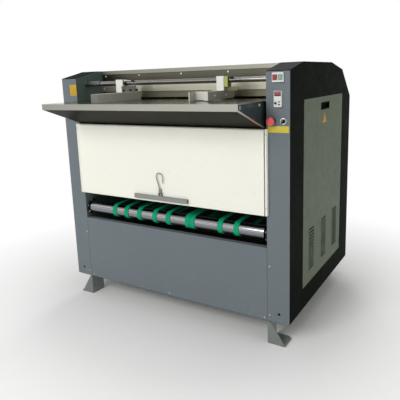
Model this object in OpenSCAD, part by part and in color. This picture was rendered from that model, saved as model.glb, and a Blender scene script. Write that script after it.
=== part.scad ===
// Paperboard V grooving machine.
// Board goes in over the sloped feed tray, under the beam and the feed belts, round a large
// drum where V knives groove it, and comes back out to the front over the lower exit belts.
// Millimetres, +Z up. X runs left to right, the front is -Y, and Z = 0 is the floor.

/* [Cabinet] */
// Width over both side housings
machine_w = 1500; // [1460:10:1640]
// Depth of the cabinet behind the column fronts
cabinet_d = 1090; // [1060:10:1200]
// Height from the cabinet floor to the flat roof
cabinet_h = 1327; // [1315:1:1360]
// Width of each front column and side housing
column_w = 120; // [112:1:140]
// Depth of the folded returns of the front columns
column_return = 42; // [20:1:60]
// Sheet thickness of columns, panels and roofs
sheet_t = 2; // [1.5:0.5:2.5]
// Thickness of the load bearing inner walls
wall_t = 10; // [8:1:14]
// How far the front slope of the roof reaches back
front_slope_d = 180; // [120:5:200]
// How much the front slope of the roof falls
front_slope_h = 40; // [25:1:50]
// Distance from the rear to where the roof starts to fall
rear_slope_d = 424; // [400:2:430]
// Distance from the rear to the lower bend of the roof
rear_knee_d = 196; // [150:2:240]
// Fall of the roof down to the lower bend
rear_knee_h = 41; // [20:1:60]
// Fall of the roof down to the rear corner
rear_fall_h = 210; // [120:2:300]
// Diameter of the cable holes low in the column fronts
cable_hole_d = 14; // [8:1:20]
// Height of the cable holes
cable_hole_h = 50; // [30:1:80]
// Distance of the cable holes from the outer side
cable_hole_in = 56; // [20:1:80]

/* [Feet] */
// Height of the feet below the cabinet
foot_h = 128; // [80:1:160]
// Width of a foot
foot_w = 98; // [70:1:110]
// Depth of a foot
foot_d = 104; // [70:1:140]
// Plate thickness of the feet
foot_t = 8; // [5:1:12]
// Chamfer on the outer corner of a foot's sole
foot_chamfer = 16; // [4:1:30]
// Width of the gusset at its top
gusset_top_w = 16; // [10:1:40]
// Gap between the gusset top and the cabinet
gusset_drop = 6; // [2:1:20]

/* [Side doors] */
// Distance of the doorway behind the column front
door_front = 198; // [120:2:210]
// Depth of the doorway
door_d = 708; // [600:4:760]
// Height of the doorway's lower edge above the cabinet floor
door_bottom = 119; // [80:1:160]
// Distance of the doorway's upper edge below the flat roof
door_top_drop = 186; // [170:1:230]
// Gap round a side door
door_gap = 1.5; // [0.8:0.1:3]
// Width of the seat that the door rests on
door_seat_w = 12; // [6:1:20]
// Length of a louvre
louvre_l = 80; // [60:2:180]
// Spacing of the louvre columns
louvre_column_step = 220; // [190:5:230]
// Spacing of the louvres in a column
louvre_step = 19; // [16:1:26]
// Number of louvres in a column
louvre_count = 13; // [8:1:14]
// How far a louvre hood stands out
louvre_out = 6; // [4:0.5:9]
// Sheet thickness of a louvre hood
louvre_skin = 1.2; // [0.8:0.1:2]
// Height of the lowest louvre above the door's lower edge
louvre_rise = 74; // [20:1:90]
// Length of the flush pull in a door
pull_cup_l = 150; // [110:2:180]
// Height of the flush pull in a door
pull_cup_h = 40; // [30:1:60]
// Depth of the flush pull's finger recess
pull_cup_depth = 14; // [10:1:18]
// Wall of the flush pull
pull_cup_wall = 2; // [1:0.5:3]
// Width of the rim round the flush pull
pull_cup_rim = 6; // [4:1:10]
// Distance of the flush pull's middle below the door's upper edge
pull_cup_drop = 54; // [40:1:90]

/* [Feed tray] */
// Depth of the feed table below the flat roof
table_drop = 179; // [173:1:190]
// How far the feed tray reaches out in front of the columns
tray_reach = 282; // [200:2:340]
// Gap between the tray's ends and the column's inner edge
tray_side_gap = 8.5; // [4:0.5:20]
// Thickness of the table sheet
table_t = 3; // [2:0.5:4]
// Height of the tray's front lip
lip_h = 32.5; // [20:0.5:50]
// Depth of the tray's sloping underside below the table, where it meets the front
tray_back_drop = 132; // [90:1:140]
// Gap between the underside's rear edge and the column fronts
tray_back_gap = 7; // [3:1:20]
// Height of the folded hem at the underside's ends
tray_hem_h = 7; // [4:0.5:12]
// How far the tray's end plates stand in from the tray's ends
tray_end_in = 4; // [2:0.5:10]
// How far the tray's end plates reach in between the columns
tray_plate_in = 60; // [20:2:68]
// Distance of the table's rear edge in front of the drum's axis
table_rear_in = 55; // [40:1:70]

/* [Beam] */
// Distance of the beam's face behind the column fronts
beam_front = 240; // [232:1:260]
// Plate thickness of the beam
beam_t = 8; // [5:1:10]
// Depth of the beam's upper flange
beam_flange_d = 60; // [40:2:80]
// Height of the gap that board feeds through
feed_gap = 10; // [6:0.5:14]
// Height of the dark plate above the feed gap
pressure_plate_h = 37; // [25:1:45]
// Thickness of the dark plate above the feed gap
pressure_plate_t = 8; // [4:1:10]
// Height of the flat bar across the beam
front_bar_h = 37; // [25:1:50]
// Thickness of the flat bar across the beam
front_bar_t = 15; // [10:1:18]

/* [Top lid] */
// How far the lid's front edge stands in front of the beam
lid_overhang = 8; // [5:1:14]
// Height of the lid's folded front edge
lid_lip_h = 23; // [14:1:32]
// Gap at the lid's ends
lid_gap = 1.5; // [1:0.5:4]
// Radius of the lid's rolled rear edge
lid_roll_r = 9; // [8:0.5:10]
// Gap behind the lid's rolled edge
lid_rear_gap = 1.5; // [1:0.5:4]
// Gap between the lid and the beam under it
lid_seat_gap = 0.2; // [0.1:0.1:0.3]

/* [Side guides] */
// Diameter of the guide rod
rod_d = 25; // [20:1:28]
// Distance of the guide rod behind the column fronts
rod_front = 94; // [85:1:110]
// Height of the guide rod above the feed table
rod_rise = 102; // [98:1:112]
// Wall of the sleeve and collar on the guide rod
sleeve_wall = 4; // [3:0.5:6]
// Length of the stop sleeve at the left
sleeve_l = 117; // [40:1:130]
// Length of the collar at the right
collar_l = 14; // [8:1:30]
// Depth of the carriage blocks
carriage_d = 46; // [40:1:52]
// Width of the left carriage block
left_carriage_w = 51; // [36:1:60]
// Width of the right carriage block
right_carriage_w = 43; // [36:1:60]
// Distance of the left carriage's inner face from the middle
left_carriage_x = 320; // [280:5:380]
// Distance of the right carriage's inner face from the middle
right_carriage_x = 319; // [280:5:380]
// Height of the carriage blocks above the guide rod's axis
carriage_rise = 20; // [17:1:24]
// Height of the side guides above the table
guide_h = 48; // [36:1:52]
// Width of the left side guide
left_guide_w = 48; // [36:1:60]
// Reach of the left side guide in front of the columns
left_guide_reach = 202; // [120:2:240]
// Thickness of the left guide's bracket
bracket_t = 4; // [3:0.5:6]
// How far the left guide's bracket reaches in front of the guide rod
bracket_front = 34; // [26:1:50]
// Length of the left guide's bracket
bracket_l = 162; // [140:2:166]
// Height of the left guide's bracket above the guide's top
bracket_rise = 35; // [28:1:40]
// Slope of the bracket's rear edge at each of its two bends
bracket_slope = 16; // [8:1:18]
// Diameter of the holes in the bracket
bracket_hole_d = 10; // [6:1:14]
// Spacing of the holes in the bracket
bracket_hole_step = 60; // [40:1:62]
// Wall of the left side guide
guide_wall = 3; // [2:0.5:5]
// Width over the right side guide
right_guide_w = 114; // [90:1:120]
// Width of the right side guide's clamping bar
right_bar_w = 26; // [14:1:28]
// Gap between the right side guide's clamping bar and the table
right_bar_lift = 5; // [0.5:0.5:8]
// Reach of the right side guide in front of the columns
right_guide_reach = 87; // [20:1:120]
// Thickness of the right side guide's inner plate
right_plate_t = 6; // [4:0.5:8]
// Width of the clamp beside the right carriage
clamp_w = 22; // [12:1:26]
// Depth of the clamp beside the right carriage
clamp_d = 40; // [36:1:44]
// Height of the clamp above the guide rod's axis
clamp_rise = 17; // [16:1:20]
// Depth of the clamp below the guide rod's axis
clamp_drop = 35; // [30:1:36]
// Width of the lock plate under the clamp
lock_plate_w = 73; // [40:1:76]
// Height of the lock plate under the clamp
lock_plate_h = 20; // [10:1:20]
// Thickness of the lock plate under the clamp
lock_plate_t = 5; // [3:0.5:8]
// Running clearance between carriages and guide rod
slide_clear = 0.05; // [0.02:0.01:0.1]
// Gap between the right side guide's rear end and the front bar
guide_rear_gap = 34; // [14:1:40]
// Gap between the left side guide's rear end and the front bar, at the table
left_rear_gap = 49; // [30:1:60]
// Slope of the left side guide's rear end over its height
left_rear_slope = 31; // [0:1:40]
// Gap between the side guides and the table
guide_lift = 0.3; // [0.2:0.1:1]

/* [Front cover] */
// Depth of the front cover
cover_d = 20; // [16:1:24]
// Height of the front cover
cover_h = 435; // [400:1:450]
// Gap between the cover's upper edge and the tray
cover_top_gap = 5; // [4:0.5:10]
// Width of the strips at the cover's ends
strip_w = 8; // [6:0.5:14]
// Overlap of a strip on the column
strip_overlap = 8.5; // [6:0.5:14]
// Gap at the cover's left end
cover_left_gap = 1.5; // [1:0.5:8]
// Gap at the cover's right end
cover_right_gap = 6.5; // [1:0.5:8]
// Diameter of the hinge pins
hinge_pin_d = 8; // [6:0.5:10]
// Radial clearance on the hinge pins
pin_clear = 0.05; // [0.02:0.01:0.1]
// Width of the pull bar at the cover's foot
cover_pull_w = 368; // [200:2:500]
// Height of the pull bar
cover_pull_h = 26; // [25:1:32]
// Height of the pull bar's front lip
cover_pull_lip_h = 24; // [10:1:25]
// How far the pull bar stands out
cover_pull_out = 15; // [12:1:24]
// Sheet thickness of the pull bar
cover_pull_t = 2; // [1.5:0.5:3]
// Height of the pull bar above the cover's lower edge
cover_pull_rise = 12; // [6:1:14]
// Sideways place of the pull bar and hook
hook_x = -9; // [-60:1:60]
// Wire diameter of the hook
hook_wire_d = 5; // [4:0.5:6]
// Radius of the hook's bow
hook_bow_r = 21; // [14:0.5:22]
// Length of the hook from pivot to the middle of its bow
hook_l = 99; // [94:1:130]
// Diameter of the hook's shank, a little thicker than its bent wire
hook_shank_d = 5.5; // [5.2:0.1:7]
// How far the bent wire runs into the shank
hook_shank_lap = 1; // [0.5:0.1:2]
// Length of the hook's open end below its bow
hook_tip_l = 36; // [20:1:40]
// Diameter of the ferrule at the hook's foot
hook_ferrule_d = 16; // [10:0.5:17]
// Length of the ferrule at the hook's foot
hook_ferrule_l = 20; // [10:1:24]
// Height of the ferrule's lower face above the pivot
hook_ferrule_rise = 8; // [8:0.5:10]
// Diameter of the hook's pivot pin
hook_pin_d = 5; // [4:0.5:6]
// Gap beside the hook in its bracket
hook_slot_gap = 1.5; // [0.5:0.1:3]
// Height of the hook's pivot above the cover's lower edge
hook_rise = 52; // [46:1:70]
// Width of the bracket that carries the hook
hook_bracket_w = 24; // [20:1:30]
// Height of the bracket that carries the hook
hook_bracket_h = 30; // [26:1:34]

/* [Lower front] */
// Depth of the lower front panel's upper edge below the exit roller's axis
lower_panel_drop = 65; // [52:1:100]
// Depth of the lower front panel's upper flange
lower_flange_d = 34; // [20:1:50]
// Gap at the lower panel's ends
lower_gap = 1.5; // [0.8:0.1:3]

/* [Rollers and belts] */
// Diameter of the feed rollers
feed_roller_d = 50; // [40:1:54]
// Diameter of the exit rollers
exit_roller_d = 75; // [60:1:84]
// Distance of the exit roller behind the column fronts
exit_front = 50; // [49:1:60]
// Depth of the exit roller's axis below the feed table
exit_drop = 681; // [670:1:700]
// Distance from the exit roller back to its rear roller
exit_run = 360; // [300:2:370]
// Rise from the exit roller to its rear roller
exit_rise = 10; // [0:1:30]
// Distance of the front feed roller behind the beam's face
feed_roller_back = 50; // [44:1:56]
// Distance between the two feed rollers
feed_run = 120; // [80:1:130]
// Gap between table and feed belts, for the board
board_gap = 4; // [2:0.5:5]
// Belt width
belt_w = 30; // [20:1:31]
// Belt thickness
belt_t = 3; // [2:0.5:4]
// Sideways places of the belts
belt_places = [-400, -307, -207, -92, 4, 138, 170, 348, 447];
// Clearance between belts and rollers or pulleys
belt_clear = 0.3; // [0.3:0.1:0.6]
// Diameter of the roller journals
journal_d = 20; // [14:1:26]
// Diameter of the feed bearing flanges
feed_flange_d = 66; // [50:1:72]
// Diameter of the exit bearing flanges
exit_flange_d = 94; // [70:1:96]
// Diameter of the drum bearing flanges
drum_flange_d = 116; // [100:1:140]
// Thickness of the bearing flanges on the walls
bearing_flange_t = 9; // [6:1:12]
// Wall of a bearing where it passes through the inner wall
bearing_wall = 12; // [8:1:14]
// Running clearance in the bearings
bearing_clear = 0.05; // [0.02:0.01:0.1]
// End gap between rollers and bearings
roller_end_gap = 16; // [1:0.5:20]

/* [Drum and knives] */
// Diameter of the grooving drum
drum_d = 600; // [560:2:610]
// Distance of the drum axis behind the column fronts
drum_front = 480; // [470:1:500]
// Shell thickness of the drum
drum_shell = 8; // [5:1:14]
// Thickness of the drum's end discs
drum_disc_t = 12; // [8:1:20]
// Gap between the drum's ends and the inner walls
drum_end_gap = 30; // [24:1:40]
// Diameter of the drum shaft
drum_shaft_d = 50; // [40:1:60]
// Diameter of the holes in the drum's end discs
drum_hole_d = 130; // [80:2:150]
// Angle about the drum where the guide sheet starts
guide_start = -90; // [-100:5:-60]
// Angle about the drum where the guide sheet ends
guide_end = 70; // [50:1:74]
// Running gap between the drum and the guide sheet round it
guide_gap = 6; // [4:0.5:8]
// Depth of the knife bar
knife_bar_d = 40; // [30:1:46]
// Height of the knife bar
knife_bar_h = 48; // [36:1:50]
// Height of the knife bar above the table
knife_bar_rise = 76; // [72:1:80]
// Width of a knife holder
holder_w = 40; // [30:1:60]
// Wall of a knife holder
holder_wall = 12; // [8:1:14]
// Clearance between knife holders and knife bar
holder_clear = 0.3; // [0.2:0.1:0.6]
// Sideways place of the left knife holder
left_holder_x = -170; // [-300:5:-100]
// Sideways place of the right knife holder
right_holder_x = 190; // [100:5:300]
// Thickness of a knife blade
knife_t = 4; // [2:0.5:6]
// Width of a knife blade
knife_w = 26; // [16:1:30]
// Gap between a knife's tip and the drum
knife_tip_gap = 1.5; // [0.5:0.1:3]

/* [Drive] */
// Diameter of the pulleys on motor and drum shaft
pulley_d = 160; // [120:2:200]
// Width of both pulleys
pulley_w = 40; // [34:1:46]
// Height of a pulley's flanges above its face
pulley_flange_h = 6; // [4:0.5:10]
// Gap between inner wall and pulleys
pulley_gap = 15; // [12:1:22]
// Distance of the motor axis behind the column fronts
motor_front = 860; // [800:2:880]
// Height of the motor axis above the cabinet floor
motor_h = 230; // [180:2:260]
// Diameter of the motor's output shaft
motor_shaft_d = 30; // [20:1:36]
// Size of the motor's gearbox across the shaft
gearbox_size = 150; // [120:2:180]
// Length of the motor's gearbox
gearbox_l = 120; // [90:2:150]
// Diameter of the motor
motor_d = 140; // [110:2:160]
// Length of the motor
motor_l = 240; // [180:2:300]
// Number of cooling ribs on the motor
motor_ribs = 12; // [8:2:16]
// Height of the motor's cooling ribs
rib_h = 5; // [3:0.5:8]
// Gap round the motor shaft where it passes the wall
shaft_gap = 2; // [1:0.5:4]

/* [Controls] */
// Sideways place of the switch plate and keypad from the column's middle
panel_shift = 3; // [-6:1:6]
// Distance of the switch plate's middle below the flat roof
switch_drop = 71; // [69:1:82]
// Width of the switch plate
switch_w = 56; // [52:1:66]
// Height of the switch plate
switch_plate_h = 45; // [40:1:50]
// Corner radius of the switch plate
switch_corner_r = 6; // [2:0.5:10]
// Depth of the switch plate
switch_d = 12; // [9:1:16]
// Width of a push button
button_w = 20; // [16:1:23]
// Height of a push button
button_h = 24; // [18:1:30]
// How far a push button stands out
button_out = 5; // [4:0.5:8]
// Gap round a push button
button_gap = 0.3; // [0.2:0.1:0.6]
// Distance between the push buttons' middles
button_step = 27; // [25:0.5:30]
// Room behind a push button for its travel
button_room = 4; // [3.5:0.5:6]
// Distance of the keypad's middle below the flat roof
keypad_drop = 172; // [157:1:187]
// Width of the keypad
keypad_w = 38; // [36:1:56]
// Height of the keypad
keypad_l = 76; // [66:1:90]
// Corner radius of the keypad
keypad_corner_r = 3; // [1:0.5:8]
// Depth of the keypad
keypad_d = 12; // [8:1:20]
// Height of the keypad's display window
display_h = 23; // [16:1:26]
// Depth of the keypad's display window
display_depth = 1.5; // [0.5:0.5:3]
// Width of the rim round the display window
display_rim = 2; // [1:0.5:5]
// Diameter of the speed knob
speed_knob_d = 10; // [8:0.5:12]
// Length of the speed knob
speed_knob_l = 8; // [5:0.5:12]
// Distance of the emergency stop and selector below the flat roof
stop_drop = 277; // [267:1:287]
// Distance of the emergency stop and selector from the column's middle
stop_offset = 29; // [26:1:30]
// Diameter of the emergency stop head
stop_head_d = 40; // [34:1:46]
// Diameter of the emergency stop collar
stop_collar_d = 34; // [30:1:44]
// Length of the emergency stop collar
stop_collar_l = 12; // [8:1:16]
// Travel of the emergency stop
stop_travel = 4; // [3:0.5:5]
// Length of the emergency stop head
stop_head_l = 20; // [14:1:26]
// Diameter of the selector ring
selector_ring_d = 30; // [26:1:34]
// Length of the selector ring
selector_ring_l = 6; // [4:1:10]
// Diameter of the selector knob
selector_knob_d = 22; // [18:1:24]
// Length of the selector knob
selector_knob_l = 16; // [10:1:22]
// Gap behind the knobs
knob_gap = 0.3; // [0.2:0.1:0.5]

/* [Hidden] */
$fn = 64;

// Main planes: the column fronts, the outer sides and the faces of the inner walls
front_y = (tray_reach - cabinet_d) / 2;
outer_x = machine_w / 2;
wall_x = outer_x - column_w;
wall_out_x = wall_x + wall_t;
column_mid_x = outer_x - column_w / 2;

// A distance behind the column fronts and a height above the cabinet floor, as places
function behind(d) = front_y + d;
function above(h) = foot_h + h;

// Cabinet outline seen from the right, as distance behind the front and height above the floor
front_top_h = cabinet_h - front_slope_h;
roof_hem = 1.5 * sheet_t;
roof_path = [[0, front_top_h], [front_slope_d, cabinet_h], [cabinet_d - rear_slope_d, cabinet_h],
    [cabinet_d - rear_knee_d, cabinet_h - rear_knee_h], [cabinet_d, cabinet_h - rear_fall_h]];
outline = concat([[0, 0]], roof_path, [[cabinet_d, 0]]);

function unit(v) = v / norm(v);
function right_side(d) = [d.y, -d.x];
// Moves every edge of a clockwise outline inwards by the same distance
function inset(points, t) = [for (i = [0 : len(points) - 1])
    let (last = points[(i + len(points) - 1) % len(points)])
    let (next = points[(i + 1) % len(points)])
    let (n1 = right_side(unit(points[i] - last)), n2 = right_side(unit(next - points[i])))
    points[i] + t * (n1 + n2) / (1 + n1 * n2)];
function reversed(list) = [for (i = [len(list) - 1 : -1 : 0]) list[i]];
inner_outline = inset(outline, sheet_t);
roof_points = len(roof_path);
inner_roof_path = [for (i = [1 : roof_points]) inner_outline[i]];

// Feed tray and table
table_h = cabinet_h - table_drop;
tray_back_h = table_h - tray_back_drop;
tray_x = wall_x - tray_side_gap;
table_z = above(table_h);
tray_y = behind(-tray_reach);
lip_back_y = tray_y + sheet_t;
lip_low_z = table_z - lip_h;
tray_back_y = behind(-tray_back_gap);
tray_back_z = above(tray_back_h);
table_rear_y = behind(drum_front - table_rear_in);

// Beam, lid and the parts across the feed opening
beam_y = behind(beam_front);
beam_bottom_z = table_z + feed_gap;
bar_bottom_z = beam_bottom_z + pressure_plate_h;
lid_front_y = beam_y - lid_overhang;
lid_hinge_y = behind(cabinet_d - rear_slope_d);
lid_hinge_z = above(cabinet_h) - lid_roll_r;
pin_r = hinge_pin_d / 2;

// Guide rod, carriages and side guides
rod_y = behind(rod_front);
rod_z = table_z + rod_rise;
rod_r = rod_d / 2;
carriage_front_y = rod_y - carriage_d / 2;
carriage_rear_y = rod_y + carriage_d / 2;
guide_bottom_z = table_z + guide_lift;
guide_top_z = table_z + guide_h;
bracket_front_y = rod_y - bracket_front;
guide_rear_y = beam_y - front_bar_t - guide_rear_gap;
left_rear_y = beam_y - front_bar_t - left_rear_gap;

// Front cover
cover_y = behind(-cover_d);
cover_top_h = tray_back_h - cover_top_gap;
cover_bottom_h = cover_top_h - cover_h;
cover_roll_r = cover_d / 2;
cover_hinge_y = behind(0) - cover_roll_r;
cover_hinge_z = above(cover_top_h) - cover_roll_r;
strip_in_x = wall_x + strip_overlap - strip_w;
cover_left_x = cover_left_gap - strip_in_x;
cover_right_x = strip_in_x - cover_right_gap;
cover_bottom_z = above(cover_bottom_h);
cover_pull_z = cover_bottom_z + cover_pull_rise;
hook_z = cover_bottom_z + hook_rise;
hook_stand = 2 * hook_wire_d;
hook_y = cover_y - hook_stand;

// Rollers, belts and drum
feed_roller_r = feed_roller_d / 2;
exit_roller_r = exit_roller_d / 2;
feed_belt_r = feed_roller_r + belt_clear;
exit_belt_r = exit_roller_r + belt_clear;
exit_h = table_h - exit_drop;
lower_panel_h = exit_h - lower_panel_drop;
journal_r = journal_d / 2;
bearing_r = journal_r + bearing_wall;
drum_bearing_r = drum_shaft_d / 2 + bearing_wall;
roller_end_x = wall_x - bearing_flange_t - roller_end_gap;
exit_at = [behind(exit_front), above(exit_h)];
rear_exit_at = exit_at + [exit_run, exit_rise];
feed_roller_rise = board_gap + belt_t + feed_belt_r;
feed_roller_z = table_z + feed_roller_rise;
feed_flange_r = min(feed_flange_d / 2, feed_roller_rise - belt_clear);
front_feed_at = [beam_y + feed_roller_back, feed_roller_z];
rear_feed_at = front_feed_at + [feed_run, 0];
drum_r = drum_d / 2;
drum_at = [behind(drum_front), table_z - drum_r];
motor_at = [behind(motor_front), above(motor_h)];
knife_bar_at = [drum_at.x + knife_bar_d / 2, table_z + knife_bar_rise];
pulley_x = wall_out_x + pulley_gap;

// Side doors
door_h = cabinet_h - door_top_drop - door_bottom;
door_face_x = outer_x;
door_in_x = outer_x - sheet_t;
door_mid_y = behind(door_front + door_d / 2);
door_low_z = above(door_bottom) + door_gap;
pull_cup_z = above(door_bottom + door_h) - pull_cup_drop;

// Controls
switch_z = above(cabinet_h - switch_drop);
keypad_z = above(cabinet_h - keypad_drop);
panel_x = column_mid_x + panel_shift;
speed_knob_x = panel_x - keypad_w / 4;
speed_knob_z = keypad_z - keypad_l / 4;
stop_x = column_mid_x - stop_offset;
selector_x = column_mid_x + stop_offset;
stop_z = above(cabinet_h - stop_drop);
stop_stem_r = stop_collar_d / 4;
selector_stem_r = selector_knob_d / 4;

// Small shared shapes
module block(x0, x1, y0, y1, z0, z1) {
    translate([x0, y0, z0]) cube([x1 - x0, y1 - y0, z1 - z0]);
}
module along_x(r, x0, x1, at) {
    translate([x0, at.x, at.y]) rotate([0, 90, 0]) cylinder(r = r, h = x1 - x0);
}
module along_y(r, y0, y1, x, z) {
    translate([x, y0, z]) rotate([-90, 0, 0]) cylinder(r = r, h = y1 - y0);
}
module side_plate(x0, x1) {
    translate([x0, 0, 0]) rotate([90, 0, 90]) linear_extrude(height = x1 - x0) children();
}
module front_plate(y0, y1) {
    translate([0, y1, 0]) rotate([90, 0, 0]) linear_extrude(height = y1 - y0) children();
}
// Block on the front with rounded corners
module rounded_block(x0, x1, y0, y1, z0, z1, r) {
    block(x0 + r, x1 - r, y0, y1, z0, z1);
    block(x0, x1, y0, y1, z0 + r, z1 - r);
    for (x = [x0 + r, x1 - r], z = [z0 + r, z1 - r])
        along_y(r, y0, y1, x, z);
}
module both_sides() {
    children();
    mirror([1, 0, 0]) children();
}
module cabinet_polygon(points) {
    translate([front_y, foot_h]) polygon(points);
}

// Endless flat belt round two equal pulleys, centred on its width
module belt_loop(a, b, r, w) {
    run = norm(b - a);
    translate([-w / 2, 0, 0]) rotate([90, 0, 90]) translate(a)
        rotate(atan2(b.y - a.y, b.x - a.x)) {
            rotate(90) rotate_extrude(angle = 180) translate([r, 0]) square([belt_t, w]);
            translate([run, 0]) rotate(-90) rotate_extrude(angle = 180)
                translate([r, 0]) square([belt_t, w]);
            for (low = [r, -r - belt_t])
                translate([0, low, 0]) cube([run, belt_t, w]);
        }
}

// Cabinet
module column() {
    height = front_top_h - roof_hem - sheet_t;
    difference() {
        translate([0, 0, above(sheet_t)]) linear_extrude(height = height) polygon([
            [wall_x, front_y], [outer_x, front_y], [outer_x, front_y + sheet_t],
            [outer_x - sheet_t, front_y + sheet_t],
            [outer_x - sheet_t, front_y + column_return],
            [outer_x - 2 * sheet_t, front_y + column_return],
            [outer_x - 2 * sheet_t, front_y + sheet_t],
            [wall_out_x + sheet_t, front_y + sheet_t],
            [wall_out_x + sheet_t, front_y + column_return],
            [wall_out_x, front_y + column_return], [wall_out_x, front_y + sheet_t],
            [wall_x, front_y + sheet_t]]);
        along_y(cable_hole_d / 2, front_y - 1, front_y + sheet_t + 1, outer_x - cable_hole_in,
            above(cable_hole_h));
    }
}
module left_column() {
    color("slategray") mirror([1, 0, 0]) column();
}
module right_column() {
    color("slategray") column();
}

module housing() {
    hem_h = front_top_h - roof_hem;
    side_plate(wall_x, outer_x) cabinet_polygon(concat(roof_path,
        [[cabinet_d, 0], [cabinet_d - sheet_t, 0]], reversed(inner_roof_path),
        [[sheet_t, hem_h], [0, hem_h]]));
    side_plate(outer_x - sheet_t, outer_x) difference() {
        cabinet_polygon(inner_outline);
        translate([behind(door_front), above(door_bottom)]) square([door_d, door_h]);
    }
    side_plate(outer_x - 2 * sheet_t, outer_x - sheet_t)
        translate([behind(door_front), above(door_bottom)]) difference() {
            translate([-door_seat_w, -door_seat_w])
                square([door_d + 2 * door_seat_w, door_h + 2 * door_seat_w]);
            translate([door_seat_w, door_seat_w])
                square([door_d - 2 * door_seat_w, door_h - 2 * door_seat_w]);
        }
}
module left_housing() {
    color("darkslategray") mirror([1, 0, 0]) housing();
}
module right_housing() {
    color("darkslategray") housing();
}

module inner_wall() {
    difference() {
        side_plate(wall_x, wall_out_x) cabinet_polygon(inner_outline);
        for (at = [exit_at, rear_exit_at, front_feed_at, rear_feed_at])
            along_x(bearing_r, wall_x - 1, wall_out_x + 1, at);
        along_x(drum_bearing_r, wall_x - 1, wall_out_x + 1, drum_at);
        along_x(pin_r, wall_x - 1, wall_out_x + 1, [lid_hinge_y, lid_hinge_z]);
    }
}
module left_inner_wall() {
    color("darkslategray") mirror([1, 0, 0]) inner_wall();
}
module right_inner_wall() {
    color("darkslategray") difference() {
        inner_wall();
        along_x(motor_shaft_d / 2 + shaft_gap, wall_x - 1, wall_out_x + 1, motor_at);
    }
}

module floor_pan() {
    color("dimgray")
        block(-outer_x, outer_x, front_y, behind(cabinet_d - sheet_t), above(0), above(sheet_t));
}

module foot() {
    block(0, foot_t, 0, foot_d, 0, foot_h);
    linear_extrude(height = foot_t) polygon([[foot_t, 0], [foot_w, 0], [foot_w, foot_d - foot_chamfer],
        [foot_w - foot_chamfer, foot_d], [foot_t, foot_d]]);
    front_plate(0, foot_t) polygon([[foot_t, foot_t], [foot_w - foot_t, foot_t],
        [gusset_top_w, foot_h - gusset_drop], [foot_t, foot_h - gusset_drop]]);
}
module feet() {
    color("gray") both_sides() {
        translate([wall_x, front_y, 0]) foot();
        translate([wall_x, behind(cabinet_d - sheet_t), 0]) rotate([0, 0, 180]) foot();
    }
}

module lower_front_panel() {
    half = wall_x - lower_gap;
    color("slategray") {
        block(-half, half, front_y, front_y + sheet_t, above(sheet_t), above(lower_panel_h));
        block(-half, half, front_y + sheet_t, front_y + lower_flange_d,
            above(lower_panel_h - sheet_t), above(lower_panel_h));
    }
}

module rear_panel() {
    start = lid_hinge_y + lid_roll_r + lid_rear_gap - front_y;
    bends = [for (i = [2 : roof_points - 1]) roof_path[i]];
    inner_bends = [for (i = [2 : roof_points - 1]) inner_roof_path[i]];
    fall = (bends[0].y - bends[1].y) / (bends[1].x - bends[0].x);
    start_h = cabinet_h - fall * (start - bends[0].x);
    inner_fall = start_h - (bends[0].y - inner_bends[0].y) - fall * (bends[0].x - inner_bends[0].x);
    color("darkslategray") side_plate(-wall_x, wall_x) cabinet_polygon(concat(
        [[start, start_h], bends[1], bends[2]], [[cabinet_d, 0], [cabinet_d - sheet_t, 0]],
        [inner_bends[2], inner_bends[1], [start, inner_fall]]));
}

// Feed tray
module feed_table() {
    color("silver") {
        block(-tray_x, tray_x, tray_y, front_y + sheet_t, table_z - table_t, table_z);
        block(-wall_x, wall_x, front_y + sheet_t, table_rear_y, table_z - table_t, table_z);
        block(-tray_x, tray_x, tray_y, tray_y + sheet_t, table_z - lip_h, table_z - table_t);
    }
}
module tray_slope(height) {
    polygon([[lip_back_y, lip_low_z], [tray_back_y, tray_back_z], [tray_back_y, tray_back_z + height],
        [lip_back_y, lip_low_z + height]]);
}
module tray_skirt() {
    color("silver") {
        side_plate(-tray_x, tray_x) tray_slope(sheet_t);
        both_sides() side_plate(tray_x - sheet_t, tray_x) tray_slope(tray_hem_h);
    }
}
module tray_end_plates() {
    out_x = tray_x - tray_end_in;
    color("darkslategray") both_sides() side_plate(out_x - sheet_t, out_x) polygon([
        [lip_back_y, lip_low_z + sheet_t], [tray_back_y, tray_back_z + sheet_t],
        [behind(tray_plate_in), tray_back_z + sheet_t], [behind(tray_plate_in), table_z - table_t],
        [lip_back_y, table_z - table_t]]);
}

// Beam across the feed opening
module knife_beam() {
    top_z = above(cabinet_h - sheet_t) - lid_seat_gap;
    color("dimgray") side_plate(-wall_x, wall_x) polygon([[beam_y, beam_bottom_z],
        [beam_y + beam_t, beam_bottom_z], [beam_y + beam_t, top_z - beam_t],
        [beam_y + beam_flange_d, top_z - beam_t], [beam_y + beam_flange_d, top_z],
        [beam_y, top_z]]);
}
module front_bar() {
    color("tan") block(-wall_x, wall_x, beam_y - front_bar_t, beam_y,
        bar_bottom_z, bar_bottom_z + front_bar_h);
}
module pressure_plate() {
    color("darkolivegreen") block(-wall_x, wall_x, beam_y - pressure_plate_t, beam_y,
        beam_bottom_z, bar_bottom_z);
}

module top_lid() {
    half = wall_x - lid_gap;
    top_z = above(cabinet_h);
    color("silver") difference() {
        union() {
            block(-half, half, lid_front_y, lid_hinge_y, top_z - sheet_t, top_z);
            block(-half, half, lid_front_y, lid_front_y + sheet_t, top_z - lid_lip_h, top_z);
            along_x(lid_roll_r, -half, half, [lid_hinge_y, lid_hinge_z]);
        }
        along_x(pin_r + pin_clear, -half - 1, half + 1, [lid_hinge_y, lid_hinge_z]);
    }
}

module hinge_pins() {
    color("silver") {
        along_x(pin_r, -wall_out_x, wall_out_x, [lid_hinge_y, lid_hinge_z]);
        along_x(pin_r, -strip_in_x - strip_w, strip_in_x + strip_w,
            [cover_hinge_y, cover_hinge_z]);
    }
}

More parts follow.
